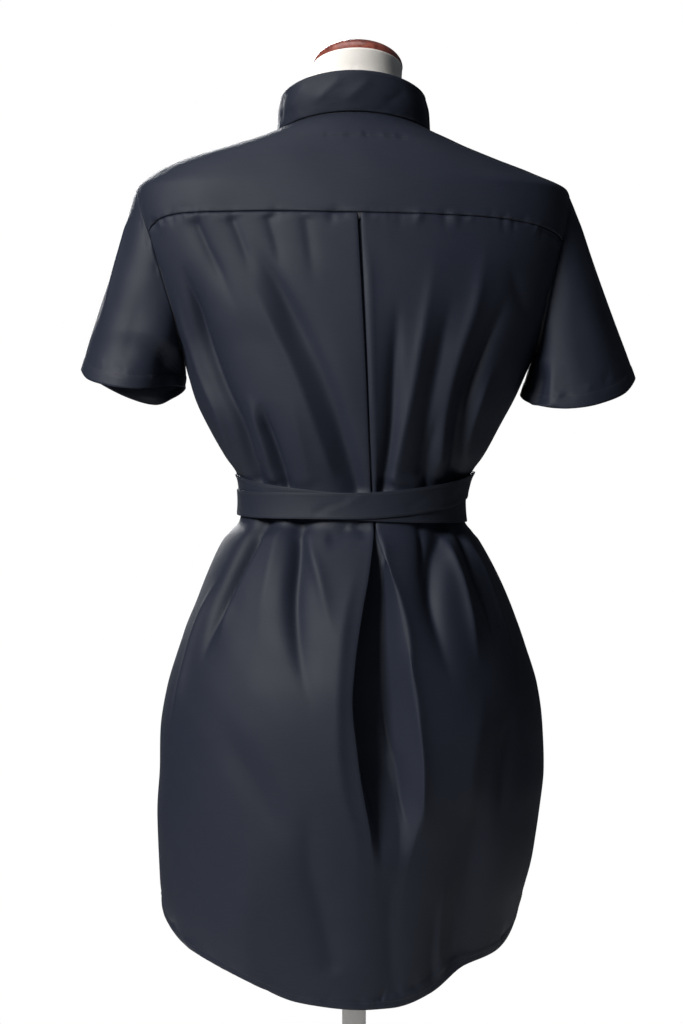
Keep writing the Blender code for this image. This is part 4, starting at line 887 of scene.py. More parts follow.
def wood_material(name, dark, light):
    """Varnished reddish wood, its grain running from front to back."""
    made, tree, shader, place = new_material(name, 0.3, Coat_Weight=0.35, Coat_Roughness=0.18)
    stretched = add_node(tree, "Mapping", {"Vector": place, "Scale": (90.0, 9.0, 60.0)})
    grain, pores = noise(tree, stretched, 1.6, 6.0, 0.8), noise(tree, stretched, 9.0)
    raised = weighted(tree, (grain, 1.0), (pores, 1.0))
    share = ranged(tree, grain, 0.36, 0.66)
    shade(tree, shader, share, (dark, light), (pores, 0.24, 0.42), raised, 0.2, 0.0002)
    return made


def side_height(across, share):
    """Height on the back panel, across from -1 to 1 between its side edges."""
    return row_height(read_rows(YOKE_SEAM, across), read_rows(HEM, across * 90), share)


def pleat_side(side, edge, inner, depth):
    """Points from one outer edge of the pleat down to its inner fold: across, and how far in.
    Where the inner fold lies behind the cloth the pleat is shut, elsewhere its side is a slope."""
    shut = ease((side * (inner - edge)) / PLEAT_TURNS_OVER + 0.5)
    back_face = 2 * WALL + LAYER_GAP
    folded = np.array((
        (edge + side * 2.0 * WALL, 0), (edge + side * 0.3 * WALL, 0.3 * WALL), (edge, back_face / 2),
        (edge + side * 0.3 * WALL, back_face - 0.3 * WALL), (mix(edge, inner, 0.5), back_face),
        (inner, back_face + LAYER_GAP / 2), (inner - side * 0.5 * WALL, max(depth, UNDERLAY)),
    ))
    places = np.linspace(0, len(folded) - 1, PLEAT_POINTS)
    shut_line = joined(*(np.interp(places, range(len(folded)), column) for column in folded.T))
    slope = np.interp(places, range(len(folded)), (0, 0.06, 0.2, 0.4, 0.62, 0.84, 1))
    opened = joined(mix(edge + side * 2.5 * WALL, inner, slope), depth * ease(slope) ** 0.8)
    return mix(opened, shut_line, shut)


def pleat_section(height):
    """Points across the whole pleat, from the wearer's left to the right."""
    heights, *sizes = PLEAT.T
    left, right, left_inner, right_inner, depth = (float(smooth_read(heights, size, height)) for size in sizes)
    left_side, right_side = pleat_side(1, left, left_inner, depth), pleat_side(-1, right, right_inner, depth)
    shares = np.linspace(0, 1, PLEAT_FLOOR_POINTS + 2)[1:-1, None]
    return np.concatenate((left_side, mix(left_side[-1], right_side[-1], shares), right_side[::-1]))


def hem_lift(angle, height):
    """The turned-up hem is a little thicker than the cloth above it."""
    return 0.0005 * ease((read_rows(HEM, angle) + HEM_DEPTH - height) / 0.0012)


def back_grid():
    """Points of the back panel, its columns running to the wearer's left and its rows up."""
    rows = []
    spread = np.linspace(0, 1, BACK_SIDE_COLUMNS + 1)
    for share in row_shares(float(read_rows(YOKE_SEAM, 1.0))):
        middle = float(side_height(0.0, share))
        section = pleat_section(middle)[::-1]
        parts = []
        for side, edge in ((-1, section[0, 0]), (1, section[-1, 0])):
            heights = side_height(side * spread, share)
            seam_side = side_edge(side, UNDERARM, False)
            reach = side_edge(side, heights, False) - seam_side
            angles = mix(angle_across(edge, heights), seam_side, spread) + drawn_in(reach, spread, heights)
            parts.append(joined(angles, heights, 0.0)[1:])
        fold = joined(angle_across(section[:, 0], middle), middle, -section[:, 1])
        rows.append(np.concatenate((parts[0][::-1], fold, parts[1])))
    angles, heights, lifts = np.moveaxis(np.array(rows), -1, 0)
    seam_roll = 0.0008 * ease((heights - read_rows(YOKE_SEAM, np.clip(angles / 66, -1, 1)) + 0.003) / 0.003)
    return body_cloth(angles, heights, lifts + hem_lift(angles, heights) - seam_roll)


def front_grid(side):
    """Points of one front, its columns running to the wearer's left and its rows up."""
    corner = float(armhole_height(side, YOKE_WRAP_TIP, True))
    body = np.linspace(0, 1, FRONT_SIDE_COLUMNS + 1)[:-1]
    lap = np.linspace(LAP_FROM, LAP_TO, LAP_COLUMNS)
    hems = read_rows(HEM, side * np.concatenate((90 + 80 * body, np.full(lap.shape, 180.0))))
    rows = [row_height(corner, hems, share) for share in row_shares(corner)]
    shoulder = np.linspace(0, 1, SHOULDER_ROWS)[1:]
    rows += [np.full(hems.shape, mix(corner, NECK - SEAM_GAP, share)) for share in shoulder]
    heights = np.array(rows)
    sides, middles = heights[:, :len(body)], heights[:, len(body):]
    wrapped = side * (90 + yoke_wrap(side, sides) + math.degrees(SEAM_GAP / SHOULDER_RADIUS))
    edge = np.where(sides > corner - SEAM_GAP, wrapped, side_edge(side, sides, True))
    seam_side = side_edge(side, UNDERARM, True)
    angles = mix(seam_side, side * front_angle(LAP_FROM, sides), body)
    angles = angles + drawn_in(edge - seam_side, 1 - body, sides)
    lap_angles = side * front_angle(np.broadcast_to(lap, middles.shape), middles)
    angles = np.concatenate((angles, lap_angles), axis=1)
    rise = LAP_STEP * ease((LAP_FROM - lap) / LAP_RISE) if side < 0 else np.zeros(lap.shape)
    rise = rise + 0.0003 * ease((0.0015 - np.abs(lap - (LAP_TO + 0.002))) / 0.0015)
    lifts = np.concatenate((np.zeros(body.shape), rise)) + hem_lift((angles + 180) % 360 - 180, heights)
    return body_cloth(angles, heights, lifts)[:, ::side]


def yoke_grid():
    """Points of the yoke, its columns running to the wearer's left and its rows up to the neck."""
    section = pleat_section(float(read_rows(YOKE_SEAM, 0.0)))
    spread = np.linspace(0, 1, YOKE_COLUMNS)
    columns = []
    for side, edge in ((-1, section[-1][0]), (1, section[0][0])):
        seam = read_rows(YOKE_SEAM, side * spread)
        angles = side * mix(angle_across(edge, seam), side_edge(side, seam, False), spread)
        shoulder = np.concatenate((
            np.linspace(angles[-1], 90, YOKE_SHOULDER_COLUMNS + 1)[1:],
            np.linspace(90, 90 + YOKE_WRAP_TIP, YOKE_WRAP_COLUMNS + 1)[1:],
        ))
        edges = armhole_height(side, np.abs(shoulder - 90), shoulder > 90) + SEAM_GAP
        half = joined(side, np.concatenate((angles, shoulder)), np.concatenate((seam + YOKE_GAP, edges)))
        columns.append(half[::side])
    side, angle, outer = np.concatenate(columns).T
    rows = []
    for share in np.concatenate(([0, 0.008, 0.02, 0.035], np.linspace(0.055, 1, YOKE_ROWS - 4))):
        height = mix(outer, NECK - SEAM_GAP, share)
        wrap = np.where(side > 0, yoke_wrap(1, height), yoke_wrap(-1, height))
        turned_over = np.where(angle > 90, 90 + (angle - 90) * wrap / YOKE_WRAP_TIP, angle)
        folded_edge = 0.0004 * ease((height - outer) / 0.0006) * ease((outer + 0.006 - height) / 0.004)
        rows.append(joined(side * turned_over, height, folded_edge))
    return body_cloth(*np.moveaxis(np.array(rows), -1, 0))


def collar_grid():
    """Points of the collar, its columns running to the wearer's left and its rows up."""
    end = 180 - math.degrees(COLLAR_OPENING / 2 / COLLAR_RINGS[0, FRONT])
    angles = np.linspace(-end, end, COLLAR_COLUMNS)[None, :]
    heights = np.linspace(COLLAR_LOW, COLLAR_TOP, COLLAR_ROWS)[:, None]
    base, out = ring_point(COLLAR_RINGS, angles, heights), ring_normal(COLLAR_RINGS, angles, heights)
    made = placed(COLLAR_CREASES, lambda path: ring_point(COLLAR_RINGS, path[:, 1], path[:, 0]))
    seam = ring_point(COLLAR_RINGS, np.linspace(-150, 150, 300), np.full(300, COLLAR_LOW + 0.001))
    made += small_creases(41, seam_places(seam, 42, 34, False), 0.0006, 0.010, 0.0024)
    edge = np.minimum(heights - COLLAR_LOW, COLLAR_TOP - heights)
    relief = (relief_of(made, base, out) + drift(base, 0.0004)) * ease(edge / 0.004)
    return base + out * (relief - 0.0007 * (1 - ease(edge / 0.0016)))[..., None]


def sleeve_base(side, parts, shares):
    """Points on a sleeve without creases, for its parts of the turn and shares down to the hem."""
    start = armhole_loop(side, parts) + (side * SLEEVE_STAND_OFF, 0, 0)
    hem = loop_read(SLEEVE_HEMS[side], parts) * (side, 1, 1)
    return mix(start[None], hem[None], np.asarray(shares)[:, None, None])


def sleeve_normals(side, grid):
    around = np.roll(grid, -1, axis=1) - np.roll(grid, 1, axis=1)
    return side * unit(np.cross(np.gradient(grid, axis=0), around))


def sleeve_grid(side):
    """Points of a sleeve, its rows going down from the armhole to the hem, and its normals."""
    parts = np.arange(SLEEVE_COLUMNS) / SLEEVE_COLUMNS
    shares = np.concatenate(([0, 0.006, 0.014, 0.025], np.linspace(0.04, 1, SLEEVE_ROWS - 4)))
    grid = sleeve_base(side, parts, shares)
    out = sleeve_normals(side, grid)
    made = placed(SLEEVE_CREASES[side], lambda path: np.array([
        sleeve_base(side, np.array([part]), [share])[0, 0] for part, share in path
    ]))
    along, down = unit(np.roll(grid, -1, axis=1) - grid), unit(grid[-1] - grid[0])
    draw = np.random.default_rng(50 + side)
    clear_of_underarm = np.flatnonzero(np.abs(parts - 0.5) > 0.14)
    for seed, count, row, way, depth, length, width, lean in (
        (52, 28, 0, 0, 0.0010, 0.014, 0.0028, 0), (56, 24, -10, -1, 0.0006, 0.010, 0.0026, 0.7),
    ):
        picks = draw.choice(clear_of_underarm, count, replace=False)
        places = [(grid[row, i], down[i], along[way, i]) for i in picks]
        made += small_creases(seed + side, places, depth, length, width, lean)
    length = np.linalg.norm(grid[-1] - grid[0], axis=-1)[None]
    from_hem, from_top = length * (1 - shares[:, None]), length * shares[:, None]
    relief = relief_of(made, grid, out) * ease(from_top / 0.006) + drift(grid, 0.0005)
    relief += 0.0005 * ease((SLEEVE_HEM_DEPTH - from_hem) / 0.0012) - 0.0007 * (1 - ease(from_top / 0.0035))
    return grid + out * relief[..., None], out


def belt_grid(turn, lift):
    """Points of one turn of the belt, pressed flat, its two edges rounded, and its normals."""
    table = BELT_TURNS[turn]
    angles = np.arange(BELT_COLUMNS) * 360 / BELT_COLUMNS - 180
    bridge = LAP_STEP * ease((np.abs(angles) - LAP_BRIDGE[0]) / (LAP_BRIDGE[1] - LAP_BRIDGE[0]))
    edges = np.sin(np.linspace(-math.pi / 2, math.pi / 2, BELT_ROWS))[:, None]
    heights = read_rows(table, angles) + edges * BELT_WIDTH / 2
    out = ring_normal(BODY_RINGS, angles, heights) * (1, 1, 0)
    base = ring_point(BODY_RINGS, angles, heights) + out * (lift + bridge)[None, :, None]
    made = placed(BELT_CREASES[turn], lambda path: on_rings(
        BODY_RINGS, path[:, 1], read_rows(table, path[:, 1]) + path[:, 0], lift
    ))
    from_edge = (1 - np.abs(edges)) * BELT_WIDTH / 2
    relief = (relief_of(made, base, out) * 0.6 + drift(base, 0.00018)) * ease(from_edge / 0.003)
    return base + out * (relief - 0.0003 * (1 - ease(from_edge / 0.0012)))[..., None], out


def belt_end_grid(side):
    """One end of the belt, which hangs from the knot and lies on the front of the skirt."""
    top = WAIST - KNOT_HALF_HEIGHT - SEAM_GAP
    edges = np.sin(np.linspace(-math.pi / 2, math.pi / 2, 13))
    rows = []
    for share in np.linspace(1, 0, 80):
        height = top - END_LENGTHS[side] * share
        centre = side * (END_WIDTH / 2 + 0.003 + 0.020 * (1 - (1 - share) ** 2) * (1.2 if side > 0 else 0.8))
        across = centre + edges * END_WIDTH / 2 * mix(0.75, 1.0, float(ease(share * 6)))
        angles = 180 - np.degrees(np.arcsin(across / float(half_width(1, height))))
        waves = 0.0010 * math.sin(share * 23 + side) * ease(share * 5)
        gathers = 0.0009 * (1 - ease(share * 4)) * np.cos(edges * 7 + side)
        rows.append(joined(angles, height, END_LIFT + 0.0004 + waves + gathers))
    return body_cloth(*np.moveaxis(np.array(rows), -1, 0))[:, ::-1]


def allowance(name, angles, heights, spread_angle, spread_height):
    """Cloth turned in behind a seam line, a strip just inside the panels it joins."""
    shares = np.linspace(-1, 1, 5)[:, None]
    grid = body_cloth(angles + shares * spread_angle, heights + shares * spread_height, -(SHELL + 0.0004))
    return finish_piece(grid_piece(name, grid, TURNED_IN, 0.0004), "cloth")


def armhole_allowance(side):
    """Cloth turned in along an armhole: from inside the panels to inside the sleeve."""
    parts = np.arange(120) / 120
    seam, body = (armhole_loop(side, parts, -(SHELL + 0.0010), grown) for grown in (1.0, 1.07))
    sleeve = sleeve_base(side, parts, [0.0, 0.04])
    inward = sleeve_normals(side, sleeve)[1] * -(SHELL + 0.0009)
    grid = np.array((sleeve[1] + inward, mix(seam, sleeve[0], 0.3), body))[:, ::side]
    strip = grid_piece(name_of("armhole_allowance", side), grid, TURNED_IN, 0.0003, closed=True)
    return finish_piece(strip, "cloth")


def neck_allowance():
    """Cloth turned in at the neck: from inside the yoke up to inside the collar."""
    angles = np.linspace(-175, 175, 180)
    grid = np.array([on_rings(rings, angles, np.full(180, height), -inset) for rings, height, inset in (
        (BODY_RINGS, NECK - 0.008, SHELL + 0.0006), (BODY_RINGS, NECK - 0.001, SHELL + 0.0006),
        (COLLAR_RINGS, COLLAR_LOW + 0.001, COLLAR_SHELL + 0.0004),
        (COLLAR_RINGS, COLLAR_LOW + 0.010, COLLAR_SHELL + 0.0004),
    )])
    return finish_piece(grid_piece("neck_allowance", grid, TURNED_IN, 0.0003), "cloth")


def resample(line, step):
    """Points at even steps along a line of points."""
    lengths = np.concatenate(([0], np.cumsum(np.linalg.norm(np.diff(line, axis=0), axis=1))))
    places = np.arange(step / 2, lengths[-1], step)
    return joined(*(np.interp(places, lengths, column) for column in line.T))


def stitches(name, line, normals, slot="cloth", stitch=STITCH, gap=STITCH_GAP, thread=THREAD):
    """A row of stitches along a line of points: each is a short thread that dips in at its ends."""
    middles = resample(line, stitch + gap)
    evenly, rows = np.linspace(0, 1, len(middles)), np.linspace(0, 1, len(normals))
    facing = unit(joined(*(np.interp(evenly, rows, column) for column in normals.T)))
    along = unit(np.gradient(middles, axis=0))
    across = unit(np.cross(along, facing))
    sides = 5
    place, wide, high = np.array(STITCH_RINGS).T
    turn = np.arange(sides) * 2 * math.pi / sides
    points = (
        middles[:, None, None]
        + along[:, None, None] * (place * stitch)[None, :, None, None]
        + facing[:, None, None] * ((high[:, None] + np.cos(turn) * wide[:, None]) * thread)[None, ..., None]
        + across[:, None, None] * (np.sin(turn) * wide[:, None] * thread)[None, ..., None]
    )
    starts = np.arange(len(middles))[:, None] * len(place) * sides
    quads = (tube_faces(len(place), sides)[None] + starts[..., None]).reshape(-1, 4).tolist()
    ends = np.arange(sides)
    caps = (starts + ends[::-1]).tolist() + (starts + (len(place) - 1) * sides + ends).tolist()
    return finish_piece(new_mesh_piece(name, points, quads + caps, SEWING_THREAD), slot)


def grid_line(grid, out, from_edge, low=True, closed=False):
    """A line along a grid at a distance from its lowest or highest row, and its normals."""
    if not low:
        grid, out = grid[::-1], out[::-1]
    runs = np.linalg.norm(np.diff(grid, axis=0), axis=-1)
    lengths = np.concatenate((np.zeros((1, grid.shape[1])), np.cumsum(runs, axis=0)))
    index = np.clip((lengths < from_edge).sum(axis=0), 1, len(grid) - 1)
    columns = np.arange(grid.shape[1])
    before, after = lengths[index - 1, columns], lengths[index, columns]
    share = ((from_edge - before) / np.maximum(after - before, 1e-9))[:, None]
    found = mix(grid[index - 1, columns], grid[index, columns], share), out[index, columns]
    return tuple(np.vstack((part, part[:1])) for part in found) if closed else found


def outward(grid):
    """Normals of a grid round the body, made to face away from its axis."""
    normals = unit(np.cross(np.gradient(grid, axis=1), np.gradient(grid, axis=0)))
    return normals * (1 if (normals[..., :2] * grid[..., :2]).sum(axis=-1).mean() > 0 else -1)


def turned(name, profile, finish, columns=64):
    """A turned piece from its profile, listed from the axis at the top, down the outer side."""
    profile = np.array(profile, float)
    turn = np.arange(columns) * 2 * math.pi / columns
    reach, height = profile[1:-1].T[..., None]
    rings = joined(reach * np.cos(turn), reach * np.sin(turn), height).reshape(-1, 3)
    points = np.vstack(((0, 0, profile[0, 1]), rings, (0, 0, profile[-1, 1])))
    faces = tube_faces(len(reach), columns, 1)[:, ::-1].tolist()
    first, last = 1 + np.arange(columns), len(rings) - columns + 1 + np.arange(columns)
    faces += joined(0, first, np.roll(first, -1)).tolist()
    faces += joined(last, len(points) - 1, np.roll(last, -1)).tolist()
    obj = new_mesh_piece(name, points, faces, finish)
    obj.data.set_sharp_from_angle(angle=math.radians(40))
    return obj


def rounded_profile(corners, radius, steps=4):
    """A profile whose inner corners are rounded off."""
    corners = np.array(corners, float)
    made = [corners[0]]
    for before, corner, after in zip(corners, corners[1:], corners[2:]):
        start, stop = (
            corner + unit(way) * min(radius, np.linalg.norm(way) * 0.45)
            for way in (before - corner, after - corner)
        )
        made += [
            start * (1 - t) ** 2 + corner * 2 * t * (1 - t) + stop * t**2 for t in np.linspace(0, 1, steps)
        ]
    return made + [corners[-1]]


def button_mesh():
    """A four-hole button with a raised rim, its holes cut through."""
    tall, wide = BUTTON_HEIGHT, BUTTON_RADIUS
    disc = turned("button", rounded_profile((
        (0, tall * 0.62), (wide * 0.55, tall * 0.62), (wide * 0.72, tall), (wide * 0.92, tall * 0.92),
        (wide, tall * 0.55), (wide * 0.90, 0.0001), (0, 0.0001),
    ), 0.0004), BUTTON_PLASTIC, 48)
    drills = []
    for x in (-BUTTON_HOLE_OFF, BUTTON_HOLE_OFF):
        for y in (-BUTTON_HOLE_OFF, BUTTON_HOLE_OFF):
            bpy.ops.mesh.primitive_cylinder_add(vertices=16, radius=0.0006, depth=0.01, location=(x, y, 0))
            drills.append(bpy.context.object)
            cut = disc.modifiers.new("hole", "BOOLEAN")
            cut.operation, cut.object = "DIFFERENCE", drills[-1]
    mesh = bpy.data.meshes.new_from_object(disc.evaluated_get(bpy.context.evaluated_depsgraph_get()))
    for obj in (disc, *drills):
        bpy.data.objects.remove(obj, do_unlink=True)
    return mesh


def button_thread(name):
    """Two pairs of threads crossed over the middle of a button, in the button's own frame."""
    share = np.linspace(0, 1, 9)
    height = BUTTON_HEIGHT * 0.64 + 0.0004 * np.sin(share * math.pi) - 0.0009 * np.isin(share, (0, 1))
    reach, sides, thread = mix(-BUTTON_HOLE_OFF, BUTTON_HOLE_OFF, share), 6, 0.00024
    turn = np.arange(sides)[:, None] * math.pi / 3
    tubes = []
    for slope in (1, -1):
        line = joined(reach, reach * slope, height)
        along = unit(np.gradient(line, axis=0))
        across = unit(np.cross(along, (0, 0, 1.0)))
        up = np.cross(across, along)
        for offset in (-0.00022, 0.00022):
            ring = across[:, None] * (offset + np.cos(turn) * thread) + up[:, None] * np.sin(turn) * thread
            tubes.append(line[:, None] + ring)
    starts = np.arange(len(tubes)) * len(share) * sides
    faces = [tube_faces(len(share), sides, start)[:, ::-1] for start in starts]
    return new_mesh_piece(name, np.array(tubes), np.concatenate(faces).tolist(), SEWING_THREAD)


def add_buttons():
    """The row of buttons down centre front, each with its thread and its bound buttonhole."""
    mesh = button_mesh()
    for number, height in enumerate(BUTTON_HEIGHTS, 1):
        beside = height + np.array((-0.004, 0, 0.004))
        line = on_rings(BODY_RINGS, np.full(3, 180.0), beside, LAP_STEP + SEAM_GAP)
        tilt = math.atan2(line[2][1] - line[0][1], line[2][2] - line[0][2])
        middle = np.mean(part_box(f"button_{number}"), axis=0)
        button = bpy.data.objects.new(f"button_{number}_moulded", mesh)
        bpy.context.scene.collection.objects.link(button)
        thread = button_thread(f"button_{number}_thread")
        for obj in (button, thread):
            obj.location = middle - np.array((0, -math.cos(tilt), math.sin(tilt))) * BUTTON_HEIGHT / 2
            obj.rotation_euler = (math.pi / 2 - tilt, 0, 0)
        finish_piece(button, "button_plastic", f"button_{number}")
        finish_piece(thread, "cloth")
        heights = np.linspace(height - 0.0085, height + 0.0085, 30)
        for side in (1, -1):
            angles = np.full(30, 180 + np.degrees(side * 0.0009 / 0.12))
            stitches(
                name_of(f"buttonhole_{number}", side), body_cloth(angles, heights, LAP_STEP + 0.00005),
                ring_normal(BODY_RINGS, angles, heights), stitch=0.0005, gap=0.00005, thread=0.00045,
            )


def knot_piece():
    """The knot: a flattened lump wrapped by a band that comes over it from top to bottom."""
    turns, rows = 72, 41
    turn = np.arange(turns) * 2 * math.pi / turns
    tilt = np.linspace(-math.pi / 2 + 0.06, math.pi / 2 - 0.06, rows)[:, None]

    def boxy(wave):
        return np.sign(wave) * np.abs(wave) ** 0.62

    ring = boxy(np.cos(tilt))
    points = joined(
        ring * boxy(np.cos(turn)) * KNOT_HALF_WIDTH, ring * boxy(np.sin(turn)) * KNOT_HALF_DEPTH,
        boxy(np.sin(tilt)) * KNOT_HALF_HEIGHT,
    )
    lean = points[..., 0] + 0.25 * points[..., 2]
    band = ease((0.0095 - np.abs(lean)) / 0.002)
    below = 0.0006 * np.cos((points[..., 2] + 0.3 * points[..., 0]) * 800)
    folds = mix(below, 0.0007 * np.cos(lean * 1150), band)
    points = points * joined(0.97, 0.80 + 0.11 * band + folds / KNOT_HALF_DEPTH, 0.97)
    points += (0, -(KNOT_SEAT + KNOT_HALF_DEPTH + SEAM_GAP), WAIST + 0.001)
    ends = [list(range(turns))[::-1], list(range((rows - 1) * turns, rows * turns))]
    obj = new_mesh_piece("belt_knot_tied", points, tube_faces(rows, turns).tolist() + ends, BELT)
    at = points.reshape(-1, 3)[:, [0, 2]]
    corners = np.array([loop.vertex_index for loop in obj.data.loops])
    obj.data.uv_layers.new(name="weave").data.foreach_set("uv", at[corners].reshape(-1).astype(np.float32))
    return obj


def form_torso():
    """Torso and neck of the dress form, its shoulders following the yoke from underneath."""
    shoulders = BODY_RINGS[BODY_RINGS[:, HEIGHT] > SHOULDER_FROM].copy()
    lowest = shoulders[:, HEIGHT] < SHOULDER_FROM + 0.01
    shoulders[:, HEIGHT] -= WALL + FORM_CLEARANCE + FORM_SHOULDER_END * lowest
    shoulders[:, [BACK, FRONT]] -= FORM_SHOULDER_INSET
    table = np.concatenate((FORM_RINGS, shoulders, FORM_NECK_RINGS))
    angles = np.arange(FORM_COLUMNS) * 360 / FORM_COLUMNS
    last = len(table) - 1
    heights = np.interp(np.linspace(0, last, 6 * last + 1), range(len(table)), table[:, HEIGHT])
    grid = ring_point(table, angles[None, :], heights[:, None])
    across, back = np.sin(np.radians(angles)), np.cos(np.radians(angles))
    top = joined(
        NECK_TOP_ACROSS + NECK_TOP_RADIUS * across, NECK_TOP_RADIUS * back,
        NECK_TOP + NECK_TOP_RADIUS * back * math.tan(NECK_LEAN),
    )
    upper = [mix(grid[-1], top, share) for share in (0.25, 0.5, 0.75, 0.93, 1.0)]
    lid = [mix(top, top.mean(axis=0), share) - (0, 0, 0.0002) for share in (0.05, 0.5, 0.96)]
    floor = [mix(grid[0], grid[0].mean(axis=0), share) for share in (0.96, 0.5, 0.04)]
    cover_seams = np.array([0, 52, 90, 128, 180, 232, 270, 308])
    away = np.abs((angles[:, None] - cover_seams + 180) % 360 - 180).min(axis=1)
    grid = grid - outward(grid) * (0.0006 * np.exp(-(away / 0.7) ** 2))[None, :, None]
    whole = np.concatenate((floor, grid, upper, lid))[:, ::-1]
    return grid_piece("form_torso_covered", whole, COVER, closed=True)


def neck_cap():
    """The turned wooden cap on the neck: an even dome with a small bevel where it meets the cover."""
    turns = np.radians(np.linspace(90, 4, 30))
    profile = [(CAP_RADIUS * math.cos(turn), CAP_BEVEL + CAP_DOME * math.sin(turn)) for turn in turns]
    profile += [(CAP_RADIUS, CAP_BEVEL), (CAP_RADIUS - CAP_BEVEL, 0), (0, 0)]
    cap = turned("form_neck_cap_turned", profile, CAP_WOOD, 96)
    cap.location = (NECK_TOP_ACROSS, 0, NECK_TOP + SEAM_GAP)
    cap.rotation_euler = (NECK_LEAN, 0, 0)
    return cap


def add_stand():
    """Socket, pole and foot of the stand."""
    torso_base = FORM_RINGS[0, HEIGHT] - SEAM_GAP
    socket_base = torso_base - SOCKET_HEIGHT
    socket = rounded_profile((
        (0, torso_base), (SOCKET_RADIUS * 1.5, torso_base), (SOCKET_RADIUS * 1.5, torso_base - 0.006),
        (SOCKET_RADIUS * 0.8, torso_base - 0.012), (SOCKET_RADIUS * 0.62, socket_base), (0, socket_base),
    ), 0.002)
    hub_top = FOOT_HEIGHT + HUB_HEIGHT
    foot = rounded_profile((
        (0, hub_top), (POLE_RADIUS * 1.5, hub_top), (POLE_RADIUS * 1.7, hub_top - 0.004),
        (POLE_RADIUS * 1.8, FOOT_HEIGHT + 0.004), (POLE_RADIUS * 3, FOOT_HEIGHT - 0.002),
        (FOOT_RADIUS * 0.86, FOOT_HEIGHT * 0.62), (FOOT_RADIUS * 0.97, FOOT_HEIGHT * 0.42),
        (FOOT_RADIUS, FOOT_HEIGHT * 0.20), (FOOT_RADIUS, 0), (0, 0),
    ), 0.003)
    low, high = hub_top + SEAM_GAP, socket_base - SEAM_GAP
    middle = mix(low, high, 0.5)
    waist, edge = POLE_RADIUS - 0.0006, 0.0008
    pole = (
        (0, high), (POLE_RADIUS - edge, high), (POLE_RADIUS, high - edge), (POLE_RADIUS, middle + POLE_RING),
        (waist, middle + POLE_RING - 0.0006), (waist, middle - POLE_RING + 0.0006),
        (POLE_RADIUS, middle - POLE_RING), (POLE_RADIUS, low + edge), (POLE_RADIUS - edge, low), (0, low),
    )
    for name, profile, columns, node in (
        ("form_socket_turned", socket, 64, "form_socket"), ("form_foot_spun", foot, 96, "form_foot"),
        ("form_pole_tube", pole, 64, "form_pole"),
    ):
        finish_piece(turned(name, profile, STAND_PAINT, columns), "stand_paint", node)


def add_lights():
    """Soft studio light: a large window-like key from the upper left of the view, weaker fills."""
    for name, place, size, power, colour in (
        ("key", (2.0, 2.0, 2.6), 1.1, 146, (1.0, 0.98, 0.97)),
        ("top", (0.4, 0.0, 3.1), 1.6, 11, (1.0, 1.0, 1.0)),
        ("front fill", (0.7, -2.8, 2.1), 1.5, 105, (0.97, 0.98, 1.0)),
        ("right fill", (-2.4, 1.4, 1.4), 1.6, 1.5, (0.90, 0.95, 1.0)),
    ):
        data = bpy.data.lights.new(name, "AREA")
        data.shape, data.size, data.energy, data.color = "DISK", size, power, colour
        light = bpy.data.objects.new(name, data)
        light.location = place
        light.rotation_euler = (Vector((0, 0, 1.0)) - Vector(place)).to_track_quat("-Z", "Y").to_euler()
        bpy.context.scene.collection.objects.link(light)


def add_surroundings():
    """A plain pale floor, and a white backdrop that lights the object only dimly."""
    turn, radii = np.radians(np.arange(96) * 3.75), np.array((0.02, 0.5, 1.0, 1.5))[:, None]
    grid = joined(radii * np.cos(turn), radii * np.sin(turn), -0.0005)
    colours = (0.78, 0.77, 0.75), (0.84, 0.83, 0.81)
    finish = even_material("floor", *colours, 0.6, (1.2, 60.0), 1.0, 0.0, (0.6, 0.6), (0.1, 0.0005))
    grid_piece("floor", grid[:, ::-1], finish, closed=True)
    world = bpy.data.worlds.new("backdrop")
    bpy.context.scene.world = world
    world.use_nodes = True
    tree = world.node_tree
    seen = tree.nodes["Background"]
    seen.inputs["Color"].default_value = (1, 1, 1, 1)
    seen.inputs["Strength"].default_value = 1.0
    dim = add_node(tree, "Background", {"Color": (0.78, 0.87, 1.0, 1), "Strength": 0.05})
    camera_rays = add_node(tree, "LightPath", {}, "Is Camera Ray")
    both = add_node(tree, "MixShader", {0: camera_rays, 1: dim, 2: seen.outputs[0]})
    tree.links.new(both, tree.nodes["World Output"].inputs["Surface"])
    bpy.context.scene.view_settings.view_transform = "Standard"


def add_camera():
    focal_pixels = CAMERA_DISTANCE / METRES_PER_PIXEL
    data = bpy.data.cameras.new("camera")
    data.sensor_fit = "VERTICAL"
    data.lens = focal_pixels * data.sensor_height / IMAGE_HEIGHT
    data.shift_x = -(MIDDLE_COLUMN - IMAGE_WIDTH / 2) / IMAGE_HEIGHT
    data.shift_y = (LEVEL_ROW + ROWS_BY_TILT - IMAGE_HEIGHT / 2) / IMAGE_HEIGHT
    camera = bpy.data.objects.new("camera", data)
    camera.location = (0, CAMERA_DISTANCE, CAMERA_HEIGHT)
    camera.rotation_euler = (math.pi / 2 - math.atan(ROWS_BY_TILT / focal_pixels), 0, math.pi)
    bpy.context.scene.collection.objects.link(camera)
    bpy.context.scene.camera = camera


